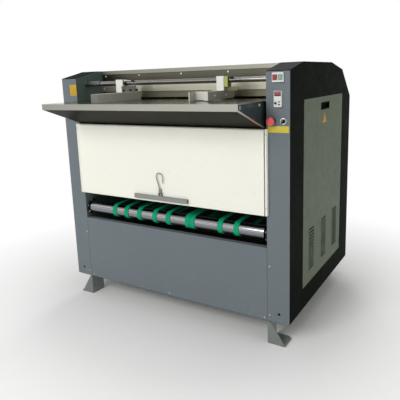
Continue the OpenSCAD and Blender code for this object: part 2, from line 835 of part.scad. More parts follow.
// Guide rod, carriages and side guides
module guide_rod() {
    color("white") along_x(rod_r, -wall_x, wall_x, [rod_y, rod_z]);
}
module rod_sleeves() {
    sleeve_r = rod_r + sleeve_wall;
    color("gainsboro") difference() {
        union() {
            along_x(sleeve_r, -wall_x, -wall_x + sleeve_l, [rod_y, rod_z]);
            along_x(sleeve_r, wall_x - collar_l, wall_x, [rod_y, rod_z]);
        }
        along_x(rod_r, -wall_x - 1, wall_x + 1, [rod_y, rod_z]);
    }
}
module carriage(x0, x1, bottom_z) {
    difference() {
        block(x0, x1, carriage_front_y, carriage_rear_y, bottom_z, rod_z + carriage_rise);
        along_x(rod_r + slide_clear, x0 - 1, x1 + 1, [rod_y, rod_z]);
    }
}
module left_carriage() {
    color("whitesmoke") carriage(-left_carriage_x - left_carriage_w, -left_carriage_x, guide_top_z);
}
module left_guide() {
    x0 = -left_carriage_x + bracket_t;
    x1 = x0 + left_guide_w;
    guide_y = behind(-left_guide_reach);
    rear_y = bracket_front_y + bracket_l;
    hole_z = guide_top_z + bracket_hole_d;
    color("lightgray") {
        difference() {
            side_plate(x0, x1) polygon([[guide_y, guide_bottom_z], [left_rear_y, guide_bottom_z],
                [left_rear_y - left_rear_slope, guide_top_z], [guide_y, guide_top_z]]);
            block(x0 + guide_wall, x1 - guide_wall, guide_y + guide_wall, left_rear_y + 1,
                guide_bottom_z + guide_wall, guide_top_z - guide_wall);
        }
        difference() {
            side_plate(x0 - bracket_t, x0) polygon([[bracket_front_y, guide_bottom_z],
                [rear_y, guide_bottom_z], [rear_y - bracket_slope, guide_top_z],
                [rear_y - 2 * bracket_slope, guide_top_z + bracket_rise],
                [bracket_front_y, guide_top_z + bracket_rise]]);
            for (i = [0 : 2])
                along_x(bracket_hole_d / 2, x0 - bracket_t - 1, x0 + 1,
                    [bracket_front_y + bracket_hole_d + i * bracket_hole_step, hole_z]);
        }
    }
}
module right_carriage() {
    color("whitesmoke") carriage(right_carriage_x, right_carriage_x + right_carriage_w, guide_top_z);
}
module right_clamp() {
    x0 = right_carriage_x + right_carriage_w;
    half = clamp_d / 2;
    low_z = rod_z - clamp_drop;
    color("olive") {
        difference() {
            block(x0, x0 + clamp_w, rod_y - half, rod_y + half, low_z, rod_z + clamp_rise);
            along_x(rod_r + slide_clear, x0 - 1, x0 + clamp_w + 1, [rod_y, rod_z]);
        }
        block(x0, x0 + lock_plate_w, rod_y - lock_plate_t / 2, rod_y + lock_plate_t / 2,
            low_z - lock_plate_h, low_z);
    }
}
module right_guide() {
    bar_x1 = right_carriage_x + right_carriage_w - guide_wall;
    bar_x0 = bar_x1 - right_bar_w;
    plate_x0 = bar_x1 - right_guide_w;
    guide_y = behind(-right_guide_reach);
    web_inset = 2 * right_bar_w;
    bar_z = table_z + right_bar_lift;
    color("lightgray") {
        block(bar_x0, bar_x1, guide_y, guide_rear_y, bar_z, guide_top_z);
        block(plate_x0, plate_x0 + right_plate_t, guide_y, guide_rear_y, guide_bottom_z, guide_top_z);
        for (y = [guide_y + web_inset, guide_rear_y - web_inset])
            block(plate_x0 + right_plate_t, bar_x0, y, y + right_plate_t, bar_z, guide_top_z);
    }
}

// Front cover with its strips, pull and hook
module cover_side_strips() {
    color("ivory") both_sides() difference() {
        block(strip_in_x, strip_in_x + strip_w, cover_y, front_y, cover_bottom_z, above(cover_top_h));
        along_x(pin_r, strip_in_x - 1, strip_in_x + strip_w + 1, [cover_hinge_y, cover_hinge_z]);
    }
}
module front_cover() {
    roll_at = [cover_hinge_y, cover_hinge_z];
    x0 = cover_left_x;
    x1 = cover_right_x;
    color("ivory") difference() {
        union() {
            block(x0, x1, cover_y, cover_y + sheet_t, cover_bottom_z, cover_hinge_z);
            block(x0, x1, cover_y, front_y, cover_bottom_z, cover_bottom_z + sheet_t);
            for (x = [x0, x1 - sheet_t])
                block(x, x + sheet_t, cover_y, front_y, cover_bottom_z, cover_hinge_z);
            along_x(cover_roll_r, x0, x1, roll_at);
        }
        along_x(pin_r + pin_clear, x0 - 1, x1 + 1, roll_at);
    }
}
module cover_pull() {
    x0 = hook_x - cover_pull_w / 2;
    x1 = hook_x + cover_pull_w / 2;
    front = cover_y - cover_pull_out;
    top_z = cover_pull_z + cover_pull_h;
    cheek = hook_bracket_w / 2;
    slot = hook_wire_d / 2 + hook_slot_gap;
    bracket_top_z = hook_z + hook_pin_d;
    color("gray") {
        block(x0, x1, cover_y - cover_pull_t, cover_y, cover_pull_z, top_z);
        block(x0, x1, front, cover_y - cover_pull_t, top_z - cover_pull_t, top_z);
        block(x0, x1, front, front + cover_pull_t, top_z - cover_pull_lip_h, top_z - cover_pull_t);
        difference() {
            block(hook_x - cheek, hook_x + cheek, hook_y - hook_pin_d, cover_y, top_z, bracket_top_z);
            block(hook_x - slot, hook_x + slot, hook_y - hook_pin_d - 1, cover_y - cover_pull_t,
                top_z + cover_pull_t, bracket_top_z + 1);
            along_x(hook_pin_d / 2, hook_x - cheek - 1, hook_x + cheek + 1, [hook_y, hook_z]);
        }
    }
}
module wire_bend(x, z, start, turn, r) {
    translate([x, hook_y, z]) rotate([90, 0, 0]) rotate(start) rotate_extrude(angle = turn)
        translate([r, 0]) circle(r = hook_wire_d / 2);
}
module cover_hook() {
    wire_r = hook_wire_d / 2;
    bow_z = hook_z + hook_l;
    shank_z = hook_z + hook_ferrule_rise + hook_ferrule_l - hook_wire_d;
    drop = bow_z - shank_z;
    lean = asin(hook_bow_r / drop);
    shank_l = sqrt(drop * drop - hook_bow_r * hook_bow_r);
    pin_half = hook_bracket_w / 2;
    color("lightsteelblue") {
        along_x(hook_pin_d / 2 - pin_clear, hook_x - pin_half, hook_x + pin_half, [hook_y, hook_z]);
        translate([hook_x, hook_y, hook_z]) cylinder(r = wire_r, h = shank_z - hook_z);
        translate([hook_x, hook_y, hook_z + hook_ferrule_rise])
            cylinder(d = hook_ferrule_d, h = hook_ferrule_l);
        translate([hook_x, hook_y, shank_z]) rotate([0, -lean, 0])
            cylinder(d = hook_shank_d, h = shank_l + hook_shank_lap);
        wire_bend(hook_x, bow_z, 0, 180 + lean, hook_bow_r);
        translate([hook_x + hook_bow_r, hook_y, bow_z - hook_tip_l]) cylinder(r = wire_r, h = hook_tip_l);
    }
}

// Side doors with louvres and flush pulls
module louvre() {
    inner_r = louvre_out - louvre_skin;
    rotate([90, 0, 0]) translate([0, 0, -louvre_l / 2]) intersection() {
        difference() {
            cylinder(r = louvre_out, h = louvre_l);
            translate([0, 0, -1]) cylinder(r = inner_r, h = louvre_l + 2);
        }
        cube([louvre_out + 1, louvre_out + 1, louvre_l]);
    }
}
module each_louvre() {
    for (column = [-1 : 1], row = [0 : louvre_count - 1])
        translate([door_face_x, door_mid_y + column * louvre_column_step,
            door_low_z + louvre_rise + row * louvre_step]) children();
}
module side_door() {
    slot_h = louvre_out - louvre_skin;
    cup_l = pull_cup_l - 2 * pull_cup_rim;
    cup_h = pull_cup_h - 2 * pull_cup_rim;
    difference() {
        block(door_in_x, door_face_x, behind(door_front) + door_gap,
            behind(door_front + door_d) - door_gap, door_low_z,
            above(door_bottom + door_h) - door_gap);
        each_louvre() translate([-sheet_t - 1, -louvre_l / 2, 0]) cube([sheet_t + 2, louvre_l, slot_h]);
        block(door_in_x - 1, door_face_x + 1, door_mid_y - cup_l / 2, door_mid_y + cup_l / 2,
            pull_cup_z - cup_h / 2, pull_cup_z + cup_h / 2);
    }
    each_louvre() louvre();
}
module door_pull() {
    cup_l = pull_cup_l - 2 * pull_cup_rim;
    cup_h = pull_cup_h - 2 * pull_cup_rim;
    rim_x = door_face_x + pull_cup_wall;
    difference() {
        union() {
            block(door_face_x, rim_x, door_mid_y - pull_cup_l / 2, door_mid_y + pull_cup_l / 2,
                pull_cup_z - pull_cup_h / 2, pull_cup_z + pull_cup_h / 2);
            block(rim_x - pull_cup_depth - 2 * pull_cup_wall, door_face_x, door_mid_y - cup_l / 2,
                door_mid_y + cup_l / 2, pull_cup_z - cup_h / 2, pull_cup_z + cup_h / 2);
        }
        block(rim_x - pull_cup_depth, rim_x + 1, door_mid_y - cup_l / 2 + pull_cup_wall,
            door_mid_y + cup_l / 2 - pull_cup_wall, pull_cup_z - cup_h / 2 + pull_cup_wall,
            pull_cup_z + cup_h / 2 - pull_cup_wall);
    }
}
module left_side_door() {
    color("darkolivegreen") mirror([1, 0, 0]) side_door();
}
module right_side_door() {
    color("darkolivegreen") side_door();
}
module left_door_pull() {
    color("black") mirror([1, 0, 0]) door_pull();
}
module right_door_pull() {
    color("black") door_pull();
}

// Rollers, belts, bearings and drum
module roller(at, r) {
    along_x(r, -roller_end_x, roller_end_x, at);
    both_sides() along_x(journal_r, roller_end_x, wall_out_x, at);
}
module front_feed_roller() {
    color("silver") roller(front_feed_at, feed_roller_r);
}
module rear_feed_roller() {
    color("silver") roller(rear_feed_at, feed_roller_r);
}
module exit_roller() {
    color("silver") roller(exit_at, exit_roller_r);
}
module rear_exit_roller() {
    color("silver") roller(rear_exit_at, exit_roller_r);
}
module bearing(at, flange_r, spigot_r, bore_r) {
    difference() {
        union() {
            along_x(flange_r, wall_x - bearing_flange_t, wall_x, at);
            along_x(spigot_r, wall_x, wall_out_x, at);
        }
        along_x(bore_r + bearing_clear, wall_x - bearing_flange_t - 1, wall_out_x + 1, at);
    }
}
module roller_bearings() {
    color("dimgray") both_sides() {
        for (at = [front_feed_at, rear_feed_at])
            bearing(at, feed_flange_r, bearing_r, journal_r);
        for (at = [exit_at, rear_exit_at])
            bearing(at, exit_flange_d / 2, bearing_r, journal_r);
        bearing(drum_at, drum_flange_d / 2, drum_bearing_r, drum_shaft_d / 2);
    }
}
module feed_belts() {
    color("seagreen") for (x = belt_places)
        translate([x, 0, 0]) belt_loop(front_feed_at, rear_feed_at, feed_belt_r, belt_w);
}
module exit_belts() {
    color("seagreen") for (x = belt_places)
        translate([x, 0, 0]) belt_loop(exit_at, rear_exit_at, exit_belt_r, belt_w);
}
module grooving_drum() {
    end_x = wall_x - drum_end_gap;
    in_x = end_x - drum_disc_t;
    hole_ring_r = (drum_r - drum_shell + drum_shaft_d / 2) / 2;
    color("lightgray") {
        difference() {
            along_x(drum_r, -end_x, end_x, drum_at);
            along_x(drum_r - drum_shell, -in_x, in_x, drum_at);
            for (turn = [0 : 60 : 300])
                along_x(drum_hole_d / 2, -end_x - 1, end_x + 1,
                    drum_at + hole_ring_r * [cos(turn), sin(turn)]);
        }
        along_x(drum_shaft_d / 2, -wall_out_x, pulley_x + pulley_w, drum_at);
    }
}
module drum_guide() {
    outer_r = drum_r + guide_gap + sheet_t;
    color("silver") translate([-wall_x, 0, 0]) rotate([90, 0, 90]) translate(drum_at)
        rotate(guide_start) rotate_extrude(angle = guide_end - guide_start)
            translate([outer_r - sheet_t, 0]) square([sheet_t, 2 * wall_x]);
}

// Knife bar, holders and knives
module knife_bar() {
    color("dimgray") block(-wall_x, wall_x, knife_bar_at.x - knife_bar_d / 2,
        knife_bar_at.x + knife_bar_d / 2, knife_bar_at.y, knife_bar_at.y + knife_bar_h);
}
module knife_holder(x) {
    front = knife_bar_at.x - knife_bar_d / 2 - holder_clear;
    low = knife_bar_at.y - holder_clear;
    high = knife_bar_at.y + knife_bar_h + holder_clear;
    half = holder_w / 2;
    hook_d = knife_bar_d / 2;
    slot = knife_t / 2;
    difference() {
        union() {
            block(x - half, x + half, front - holder_wall, front, low - 2 * holder_wall, high + holder_wall);
            block(x - half, x + half, front, front + hook_d, high, high + holder_wall);
            block(x - half, x + half, front, front + hook_d, low - 2 * holder_wall, low);
        }
        block(x - slot, x + slot, drum_at.x - knife_w / 2, drum_at.x + knife_w / 2,
            low - 2 * holder_wall - 1, low - holder_wall);
    }
}
module knife(x) {
    top_z = knife_bar_at.y - holder_clear - holder_wall;
    tip_z = table_z + knife_tip_gap;
    point_h = knife_w / 2;
    side_plate(x - knife_t / 2, x + knife_t / 2) polygon([
        [drum_at.x - knife_w / 2, top_z], [drum_at.x - knife_w / 2, tip_z + point_h],
        [drum_at.x, tip_z], [drum_at.x + knife_w / 2, tip_z + point_h],
        [drum_at.x + knife_w / 2, top_z]]);
}
module left_knife_holder() {
    color("gray") knife_holder(left_holder_x);
}
module right_knife_holder() {
    color("gray") knife_holder(right_holder_x);
}
module left_knife() {
    color("white") knife(left_holder_x);
}
module right_knife() {
    color("white") knife(right_holder_x);
}

// Drive in the right housing
module pulley(at, face_r, bore_r, x0) {
    flange_t = pulley_flange_h / 2;
    difference() {
        union() {
            along_x(face_r, x0, x0 + pulley_w, at);
            along_x(face_r + pulley_flange_h, x0, x0 + flange_t, at);
            along_x(face_r + pulley_flange_h, x0 + pulley_w - flange_t, x0 + pulley_w, at);
        }
        along_x(bore_r, x0 - 1, x0 + pulley_w + 1, at);
    }
}
module drum_pulley() {
    color("gray") pulley(drum_at, pulley_d / 2, drum_shaft_d / 2, pulley_x);
}
module motor_pulley() {
    shaft_x0 = wall_x - gearbox_l / 2;
    color("gray") {
        pulley(motor_at, pulley_d / 2, motor_shaft_d / 2, pulley_x);
        along_x(motor_shaft_d / 2, shaft_x0, pulley_x + pulley_w, motor_at);
    }
}
module drive_belt() {
    belt_x = pulley_x + pulley_w / 2;
    loop_r = pulley_d / 2 + belt_clear;
    color("black") translate([belt_x, 0, 0])
        belt_loop(motor_at, drum_at, loop_r, pulley_w - 2 * pulley_flange_h);
}
module gear_motor() {
    gear_x0 = wall_x - gearbox_l;
    half = gearbox_size / 2;
    shaft_r = motor_shaft_d / 2 + bearing_clear;
    cowl_l = motor_l / 5;
    color("steelblue") difference() {
        union() {
            block(gear_x0, wall_x, motor_at.x - half, motor_at.x + half,
                motor_at.y - half, motor_at.y + half);
            along_x(motor_d / 2, gear_x0 - motor_l, gear_x0, motor_at);
            along_x(motor_d / 2 + rib_h, gear_x0 - motor_l, gear_x0 - motor_l + cowl_l, motor_at);
            for (i = [0 : motor_ribs - 1])
                translate([gear_x0 - motor_l + cowl_l, motor_at.x, motor_at.y])
                    rotate([i * 360 / motor_ribs, 0, 0])
                        block(0, motor_l - 2 * cowl_l, -rib_h / 2, rib_h / 2, 0, motor_d / 2 + rib_h);
            block(gear_x0, wall_x, motor_at.x - half, motor_at.x + half, above(sheet_t), motor_at.y - half);
        }
        along_x(shaft_r, wall_x - gearbox_l / 2 - 1, wall_x + 1, motor_at);
    }
}

// Controls on the right column
module switch_plate() {
    half = switch_w / 2;
    tall = switch_plate_h / 2;
    color("white") difference() {
        rounded_block(panel_x - half, panel_x + half, front_y - switch_d, front_y,
            switch_z - tall, switch_z + tall, switch_corner_r);
        for (side = [-1, 1])
            button_block(side, button_gap, front_y - switch_d - 1, front_y - sheet_t);
    }
}
module button_block(side, gap, y0, y1) {
    middle = panel_x + side * button_step / 2;
    block(middle - button_w / 2 - gap, middle + button_w / 2 + gap, y0, y1,
        switch_z - button_h / 2 - gap, switch_z + button_h / 2 + gap);
}
module push_button(side) {
    button_block(side, 0, front_y - switch_d - button_out, front_y - sheet_t - button_room);
}
module stop_button() {
    color("red") push_button(-1);
}
module start_button() {
    color("green") push_button(1);
}
module keypad() {
    half = keypad_w / 2;
    tall = keypad_l / 2;
    face_y = front_y - keypad_d;
    color("white") difference() {
        rounded_block(panel_x - half, panel_x + half, face_y, front_y,
            keypad_z - tall, keypad_z + tall, keypad_corner_r);
        block(panel_x - half + display_rim, panel_x + half - display_rim, face_y - 1,
            face_y + display_depth, keypad_z + tall - display_rim - display_h,
            keypad_z + tall - display_rim);
        along_y(speed_knob_d / 4 + bearing_clear, face_y - 1, face_y + keypad_d / 2,
            speed_knob_x, speed_knob_z);
    }
}
module speed_knob() {
    face_y = front_y - keypad_d;
    rear_y = face_y - knob_gap;
    color("black") {
        along_y(speed_knob_d / 2, rear_y - speed_knob_l, rear_y, speed_knob_x, speed_knob_z);
        along_y(speed_knob_d / 4, rear_y, face_y + keypad_d / 2 - 1, speed_knob_x, speed_knob_z);
    }
}
module control_bezels() {
    color("silver") {
        difference() {
            along_y(stop_collar_d / 2, front_y - stop_collar_l, front_y, stop_x, stop_z);
            along_y(stop_stem_r + bearing_clear, front_y - stop_collar_l - 1, front_y + 1, stop_x, stop_z);
        }
        difference() {
            along_y(selector_ring_d / 2, front_y - selector_ring_l, front_y, selector_x, stop_z);
            along_y(selector_stem_r + bearing_clear, front_y - selector_ring_l - 1, front_y + 1,
                selector_x, stop_z);
        }
    }
}
module stop_head() {
    back_l = stop_collar_l + stop_travel + 1;
    r = stop_head_d / 2;
    edge = stop_head_l / 4;
    crown = stop_head_l / 2;
    color("red") translate([stop_x, front_y - back_l, stop_z]) rotate([90, 0, 0]) rotate_extrude()
        polygon(concat([[0, edge - back_l + stop_travel + 1], [stop_stem_r, edge - back_l + stop_travel + 1],
            [stop_stem_r, 0], [r - edge, 0], [r, edge], [r, stop_head_l - crown]],
            [for (turn = [15 : 15 : 90])
                [r * cos(turn), stop_head_l - crown + crown * sin(turn)]]));
}
module selector_knob() {
    face_y = front_y - selector_ring_l - knob_gap;
    grip_w = selector_knob_d / 3;
    base_l = selector_knob_l / 3;
    color("black") {
        along_y(selector_stem_r, face_y, front_y - 1, selector_x, stop_z);
        along_y(selector_knob_d / 2, face_y - base_l, face_y, selector_x, stop_z);
        intersection() {
            along_y(selector_knob_d / 2, face_y - selector_knob_l, face_y, selector_x, stop_z);
            block(selector_x - grip_w / 2, selector_x + grip_w / 2, face_y - selector_knob_l,
                face_y - base_l / 2, stop_z - selector_knob_d, stop_z + selector_knob_d);
        }
    }
}

left_column();
right_column();
left_housing();
right_housing();
left_inner_wall();
right_inner_wall();
floor_pan();
feet();
lower_front_panel();
rear_panel();
feed_table();
tray_skirt();
tray_end_plates();
knife_beam();
front_bar();
pressure_plate();
guide_rod();
rod_sleeves();
roller_bearings();
feed_belts();
exit_belts();
knife_bar();
drum_guide();
gear_motor();
drive_belt();
cover_side_strips();
hinge_pins();
switch_plate();
keypad();
control_bezels();
left_side_door();
left_door_pull();
right_side_door();
right_door_pull();
top_lid();
front_cover();
cover_pull();
cover_hook();
left_carriage();
left_guide();
right_carriage();
right_clamp();
right_guide();
grooving_drum();
drum_pulley();
front_feed_roller();
rear_feed_roller();
exit_roller();
rear_exit_roller();
motor_pulley();
left_knife_holder();
left_knife();
right_knife_holder();
right_knife();
stop_head();
selector_knob();
stop_button();
start_button();
speed_knob();
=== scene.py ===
import math

import bmesh
import bpy
import numpy as np
from mathutils import Matrix, Vector


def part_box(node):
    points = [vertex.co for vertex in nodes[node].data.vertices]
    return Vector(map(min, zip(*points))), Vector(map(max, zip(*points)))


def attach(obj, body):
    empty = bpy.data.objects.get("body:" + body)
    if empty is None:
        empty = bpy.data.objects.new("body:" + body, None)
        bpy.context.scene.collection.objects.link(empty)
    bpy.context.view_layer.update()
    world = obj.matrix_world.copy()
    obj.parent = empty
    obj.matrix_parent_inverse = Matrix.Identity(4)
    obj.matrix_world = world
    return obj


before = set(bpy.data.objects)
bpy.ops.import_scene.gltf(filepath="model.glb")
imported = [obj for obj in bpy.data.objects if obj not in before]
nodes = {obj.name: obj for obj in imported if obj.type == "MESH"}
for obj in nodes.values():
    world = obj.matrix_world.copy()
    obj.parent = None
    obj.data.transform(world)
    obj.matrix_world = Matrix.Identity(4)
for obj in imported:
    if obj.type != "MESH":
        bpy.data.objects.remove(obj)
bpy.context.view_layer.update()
print("frame loaded:", len(nodes), "nodes")

mm = 0.001
pureWhite = (1.0, 1.0, 1.0, 1.0)
noiseMiddle = 0.5


# screen colours turned into the linear values that shaders take, by the sRGB curve
def tint(red, green, blue):
    screen = np.array([red, green, blue]) / 255.0
    linear = np.where(screen <= 0.04045, screen / 12.92, ((screen + 0.055) / 1.055) ** 2.4)
    return (*linear.tolist(), 1.0)


# one node by its kind, without the word ShaderNode, its settings, and its inputs as values or links
def addNode(tree, kind, inputs=None, **settings):
    node = tree.nodes.new(kind if kind.startswith("Node") else "ShaderNode" + kind)
    for key, value in settings.items():
        setattr(node, key, value)
    for key, value in (inputs or {}).items():
        if isinstance(value, bpy.types.NodeSocket):
            tree.links.new(value, node.inputs[key])
        else:
            node.inputs[key].default_value = value
    return node


def addMath(tree, operation, first, second=0.0, clamp=False):
    node = addNode(tree, "Math", {0: first, 1: second}, operation=operation, use_clamp=clamp)
    return node.outputs[0]


def addSpan(tree, value, low, high, outLow=0.0, outHigh=1.0):
    names = ("Value", "From Min", "From Max", "To Min", "To Max")
    inputs = dict(zip(names, (value, low, high, outLow, outHigh)))
    return addNode(tree, "MapRange", inputs).outputs[0]


# a value raised by a share of a mask
def addShare(tree, value, mask, share, clamp=False):
    return addMath(tree, "ADD", value, addMath(tree, "MULTIPLY", mask, share), clamp)


# a blend of two colours, which are the Mix node's inputs 6 and 7 and its output 2
def addBlend(tree, factor, first, second):
    node = addNode(tree, "Mix", {0: factor, 6: first, 7: second}, data_type="RGBA")
    return node.outputs[2]


def addNoise(tree, where, scale, detail, roughness=0.5, distortion=0.0):
    names = ("Vector", "Scale", "Detail", "Roughness", "Distortion")
    inputs = dict(zip(names, (where, scale, detail, roughness, distortion)))
    return addNode(tree, "TexNoise", inputs).outputs["Fac"]


# patches where a noise lies within a span
def addPatches(tree, where, noise, span):
    return addSpan(tree, addNoise(tree, where, *noise), *span)


def addScaled(tree, vector, by):
    return addNode(tree, "VectorMath", {0: vector, 1: by}, operation="MULTIPLY").outputs[0]


def addBevel(tree, radius):
    return addNode(tree, "Bevel", {"Radius": radius}, samples=4).outputs[0]


def objectPlace(tree):
    return addNode(tree, "TexCoord").outputs["Object"]


def placeGroup(tree, group, **values):
    return addNode(tree, "Group", values, node_tree=group).outputs


# a group with the first values of its inputs; a triple is a vector input, and Normal a vector output
def startGroup(name, inputs, outputs):
    group = bpy.data.node_groups.new(name, "ShaderNodeTree")
    for label, value in inputs.items():
        kind = "NodeSocketVector" if isinstance(value, tuple) else "NodeSocketFloat"
        group.interface.new_socket(name=label, in_out="INPUT", socket_type=kind).default_value = value
    for label in outputs:
        kind = "NodeSocketVector" if label == "Normal" else "NodeSocketFloat"
        group.interface.new_socket(name=label, in_out="OUTPUT", socket_type=kind)
    return group, addNode(group, "NodeGroupInput").outputs, addNode(group, "NodeGroupOutput").inputs


# ends a group with its mask: two masks multiplied, times Amount, kept within 0 and 1
def giveMask(group, given, result, first, second):
    both = addMath(group, "MULTIPLY", first, second)
    group.links.new(addMath(group, "MULTIPLY", both, given["Amount"], True), result["Mask"])
    return group


# a tone that swings about 1 as a noise swings about its middle, by Depth
def giveTone(group, given, result, noise):
    swing = addMath(group, "SUBTRACT", noise, noiseMiddle)
    swing = addMath(group, "MULTIPLY", swing, given["Depth"])
    group.links.new(addMath(group, "ADD", swing, 1.0), result["Tone"])


# broad tone clouds, orange-peel height and uneven gloss of sprayed paint; in the groups' tables a noise
# is its scale, detail, roughness and distortion, but cloud and peel get their scales as inputs
skinLook = {"cloud": (4, 0.55, 0.4), "peelDetail": 2, "gloss": (22, 3, 0.6)}


def makePaintSkin(look):
    inputs = {"Peel": 420.0, "Cloud": 2.6, "Depth": 0.1}
    group, given, result = startGroup("paintSkin", inputs, ("Tone", "Height", "Gloss"))
    where = objectPlace(group)
    giveTone(group, given, result, addNoise(group, where, given["Cloud"], *look["cloud"]))
    group.links.new(addNoise(group, where, given["Peel"], look["peelDetail"]), result["Height"])
    group.links.new(addNoise(group, where, *look["gloss"]), result["Gloss"])
    return group


# how far a rounded edge turns away from the flat face, broken up by noise
rubLook = {"bent": (0.02, 0.25), "noise": (34, 4, 0.65), "broken": (0.38, 0.62)}


def makeEdgeRub(look):
    group, given, result = startGroup("edgeRub", {"Radius": 0.003, "Amount": 0.6}, ("Mask",))
    flat = addNode(group, "NewGeometry").outputs["Normal"]
    normals = {0: addBevel(group, given["Radius"]), 1: flat}
    alike = addNode(group, "VectorMath", normals, operation="DOT_PRODUCT").outputs["Value"]
    bent = addSpan(group, addMath(group, "SUBTRACT", 1.0, alike), *look["bent"])
    broken = addPatches(group, objectPlace(group), look["noise"], look["broken"])
    return giveMask(group, given, result, bent, broken)


# dust that settles on faces that look upwards; on the side doors a near-black tone through this mask is
# painted shade on the louvre hoods' upper faces
dustAndShadeLook = {"upward": (0.35, 0.95), "noise": (7, 5, 0.6, 0.6), "patches": (0.3, 0.7)}


def makeDustAndShadeFall(look):
    group, given, result = startGroup("dustAndShadeFall", {"Amount": 0.3}, ("Mask",))
    where = addNode(group, "TexCoord").outputs
    up = addNode(group, "SeparateXYZ", {0: where["Normal"]}).outputs["Z"]
    patches = addPatches(group, where["Object"], look["noise"], look["patches"])
    return giveMask(group, given, result, addSpan(group, up, *look["upward"]), patches)


# long fine lines of a brushed sheet; Stretch is how tightly they lie along each axis
brushLook = {"line": (1, 5, 0.65), "lineShare": 0.6, "broad": (3.2, 3, 0.5, 0.5),
             "broadShare": 0.4}


def makeBrushLines(look):
    inputs = {"Stretch": (3.0, 500.0, 500.0), "Depth": 0.2}
    group, given, result = startGroup("brushLines", inputs, ("Tone", "Height"))
    where = objectPlace(group)
    lines = addNoise(group, addScaled(group, where, given["Stretch"]), *look["line"])
    fine = addMath(group, "MULTIPLY", lines, look["lineShare"])
    broad = addNoise(group, where, *look["broad"])
    giveTone(group, given, result, addShare(group, fine, broad, look["broadShare"]))
    group.links.new(lines, result["Height"])
    return group


# wiped smears and finger marks
marksLook = {"smear": (5.5, 5, 0.6, 1.6), "smeared": (0.52, 0.72), "fine": (60, 3, 0.6),
             "broken": (0.3, 0.7, 0.5, 1)}


def makeHandMarks(look):
    group, given, result = startGroup("handMarks", {"Amount": 0.3}, ("Mask",))
    where = objectPlace(group)
    smear = addPatches(group, where, look["smear"], look["smeared"])
    fine = addPatches(group, where, look["fine"], look["broken"])
    return giveMask(group, given, result, smear, fine)


# scrapes and dried splashes that thin out from the floor upwards
scuffLook = {"floor": 0.05, "splash": (48, 5, 0.7, 0.8), "splashed": (0.56, 0.7),
             "stretch": (9, 9, 130), "scrape": (1, 3, 0.6), "scraped": (0.66, 0.74)}


def makeFloorScuff(look):
    group, given, result = startGroup("floorScuff", {"Reach": 0.5, "Amount": 0.3}, ("Mask",))
    where = objectPlace(group)
    height = addNode(group, "SeparateXYZ", {0: where}).outputs["Z"]
    low = addSpan(group, height, given["Reach"], look["floor"])
    splash = addPatches(group, where, look["splash"], look["splashed"])
    scrape = addPatches(group, addScaled(group, where, look["stretch"]), look["scrape"], look["scraped"])
    return giveMask(group, given, result, low, addMath(group, "MAXIMUM", splash, scrape))


# hairline scratches: the thin contour where a drawn-out noise passes its middle, only in some patches
scratchLook = {"drawn": (1, 2, 0.5, 0.3), "line": (0, 0.008, 1, 0), "noise": (4.5, 3, 0.6),
               "patches": (0.5, 0.62)}


def makeFineScratch(look):
    inputs = {"Stretch": (6.0, 40.0, 40.0), "Amount": 0.3}
    group, given, result = startGroup("fineScratch", inputs, ("Mask",))
    where = objectPlace(group)
    drawn = addNoise(group, addScaled(group, where, given["Stretch"]), *look["drawn"])
    away = addMath(group, "ABSOLUTE", addMath(group, "SUBTRACT", drawn, noiseMiddle))
    patches = addPatches(group, where, look["noise"], look["patches"])
    return giveMask(group, given, result, addSpan(group, away, *look["line"]), patches)


# the normal of edges that are slightly rounded
def makeSoftEdge():
    group, given, result = startGroup("softEdge", {"Radius": 0.0015}, ("Normal",))
    group.links.new(addBevel(group, given["Radius"]), result["Normal"])
    return group


paintSkin = makePaintSkin(skinLook)
edgeRub = makeEdgeRub(rubLook)
dustAndShadeFall = makeDustAndShadeFall(dustAndShadeLook)
brushLines = makeBrushLines(brushLook)
handMarks = makeHandMarks(marksLook)
floorScuff = makeFloorScuff(scuffLook)
fineScratch = makeFineScratch(scratchLook)
softEdge = makeSoftEdge()
print("shader groups made")


glossSpan = (0.3, 0.7)
coatRough = 0.1


# the emptied node tree of a material or a world
def emptyTree(owner):
    owner.use_nodes = True
    owner.node_tree.nodes.clear()
    return owner.node_tree


def startMaterial(name, look):
    material = bpy.data.materials.new(name)
    tree = emptyTree(material)
    shader = addNode(tree, "BsdfPrincipled")
    addNode(tree, "OutputMaterial", {0: shader.outputs[0]})
    shader.inputs["Specular IOR Level"].default_value = look["specular"]
    if "coat" in look:
        shader.inputs["Coat Weight"].default_value = look["coat"]
        shader.inputs["Coat Roughness"].default_value = coatRough
    return material, tree, shader


# links a material's colour, roughness and bumped normal to its shader
def putSurface(tree, shader, look, colour, rough, height):
    edge = placeGroup(tree, softEdge, Radius=look["soften"])["Normal"]
    inputs = {"Height": height, "Normal": edge, "Strength": look["skin"], "Distance": look["bump"]}
    bump = addNode(tree, "Bump", inputs).outputs[0]
    for name, value in (("Base Color", colour), ("Roughness", rough), ("Normal", bump)):
        tree.links.new(value, shader.inputs[name])


# roughness that swings about the look's own as the skin's gloss varies
def skinGloss(tree, skin, look):
    rough, swing = look["rough"], look["swing"]
    return addSpan(tree, skin["Gloss"], *glossSpan, rough - swing, rough + swing)


# where a second tone of the same piece begins, by place along an axis or by the way a face looks
def zoneMask(tree, zone):
    vector = addNode(tree, "TexCoord").outputs[zone["by"]]
    value = addNode(tree, "SeparateXYZ", {0: vector}).outputs[zone["axis"]]
    if zone.get("mirrored"):
        value = addMath(tree, "ABSOLUTE", value)
    return addSpan(tree, value, zone["from"], zone["to"])


# sprayed sheet metal: clouded colour, rubbed edges, hairlines, dust on top (on the side doors painted
# shade on the louvre hoods' tops), scuffs low down
paintUsual = {"rough": 0.45, "swing": 0.06, "specular": 0.3, "depth": 0.1, "rub": 0.5, "dustAndShade": 0.2,
              "dustAndShadeColour": (146, 144, 136), "dustDull": 0.3, "peel": 420, "skin": 0.12,
              "bump": 0.0006, "marks": 0.25, "markDull": 0.25, "scuff": 0, "scratch": 0.15,
              "stretch": (14, 14, 60), "soften": 0.0018, "cornerShade": 0}
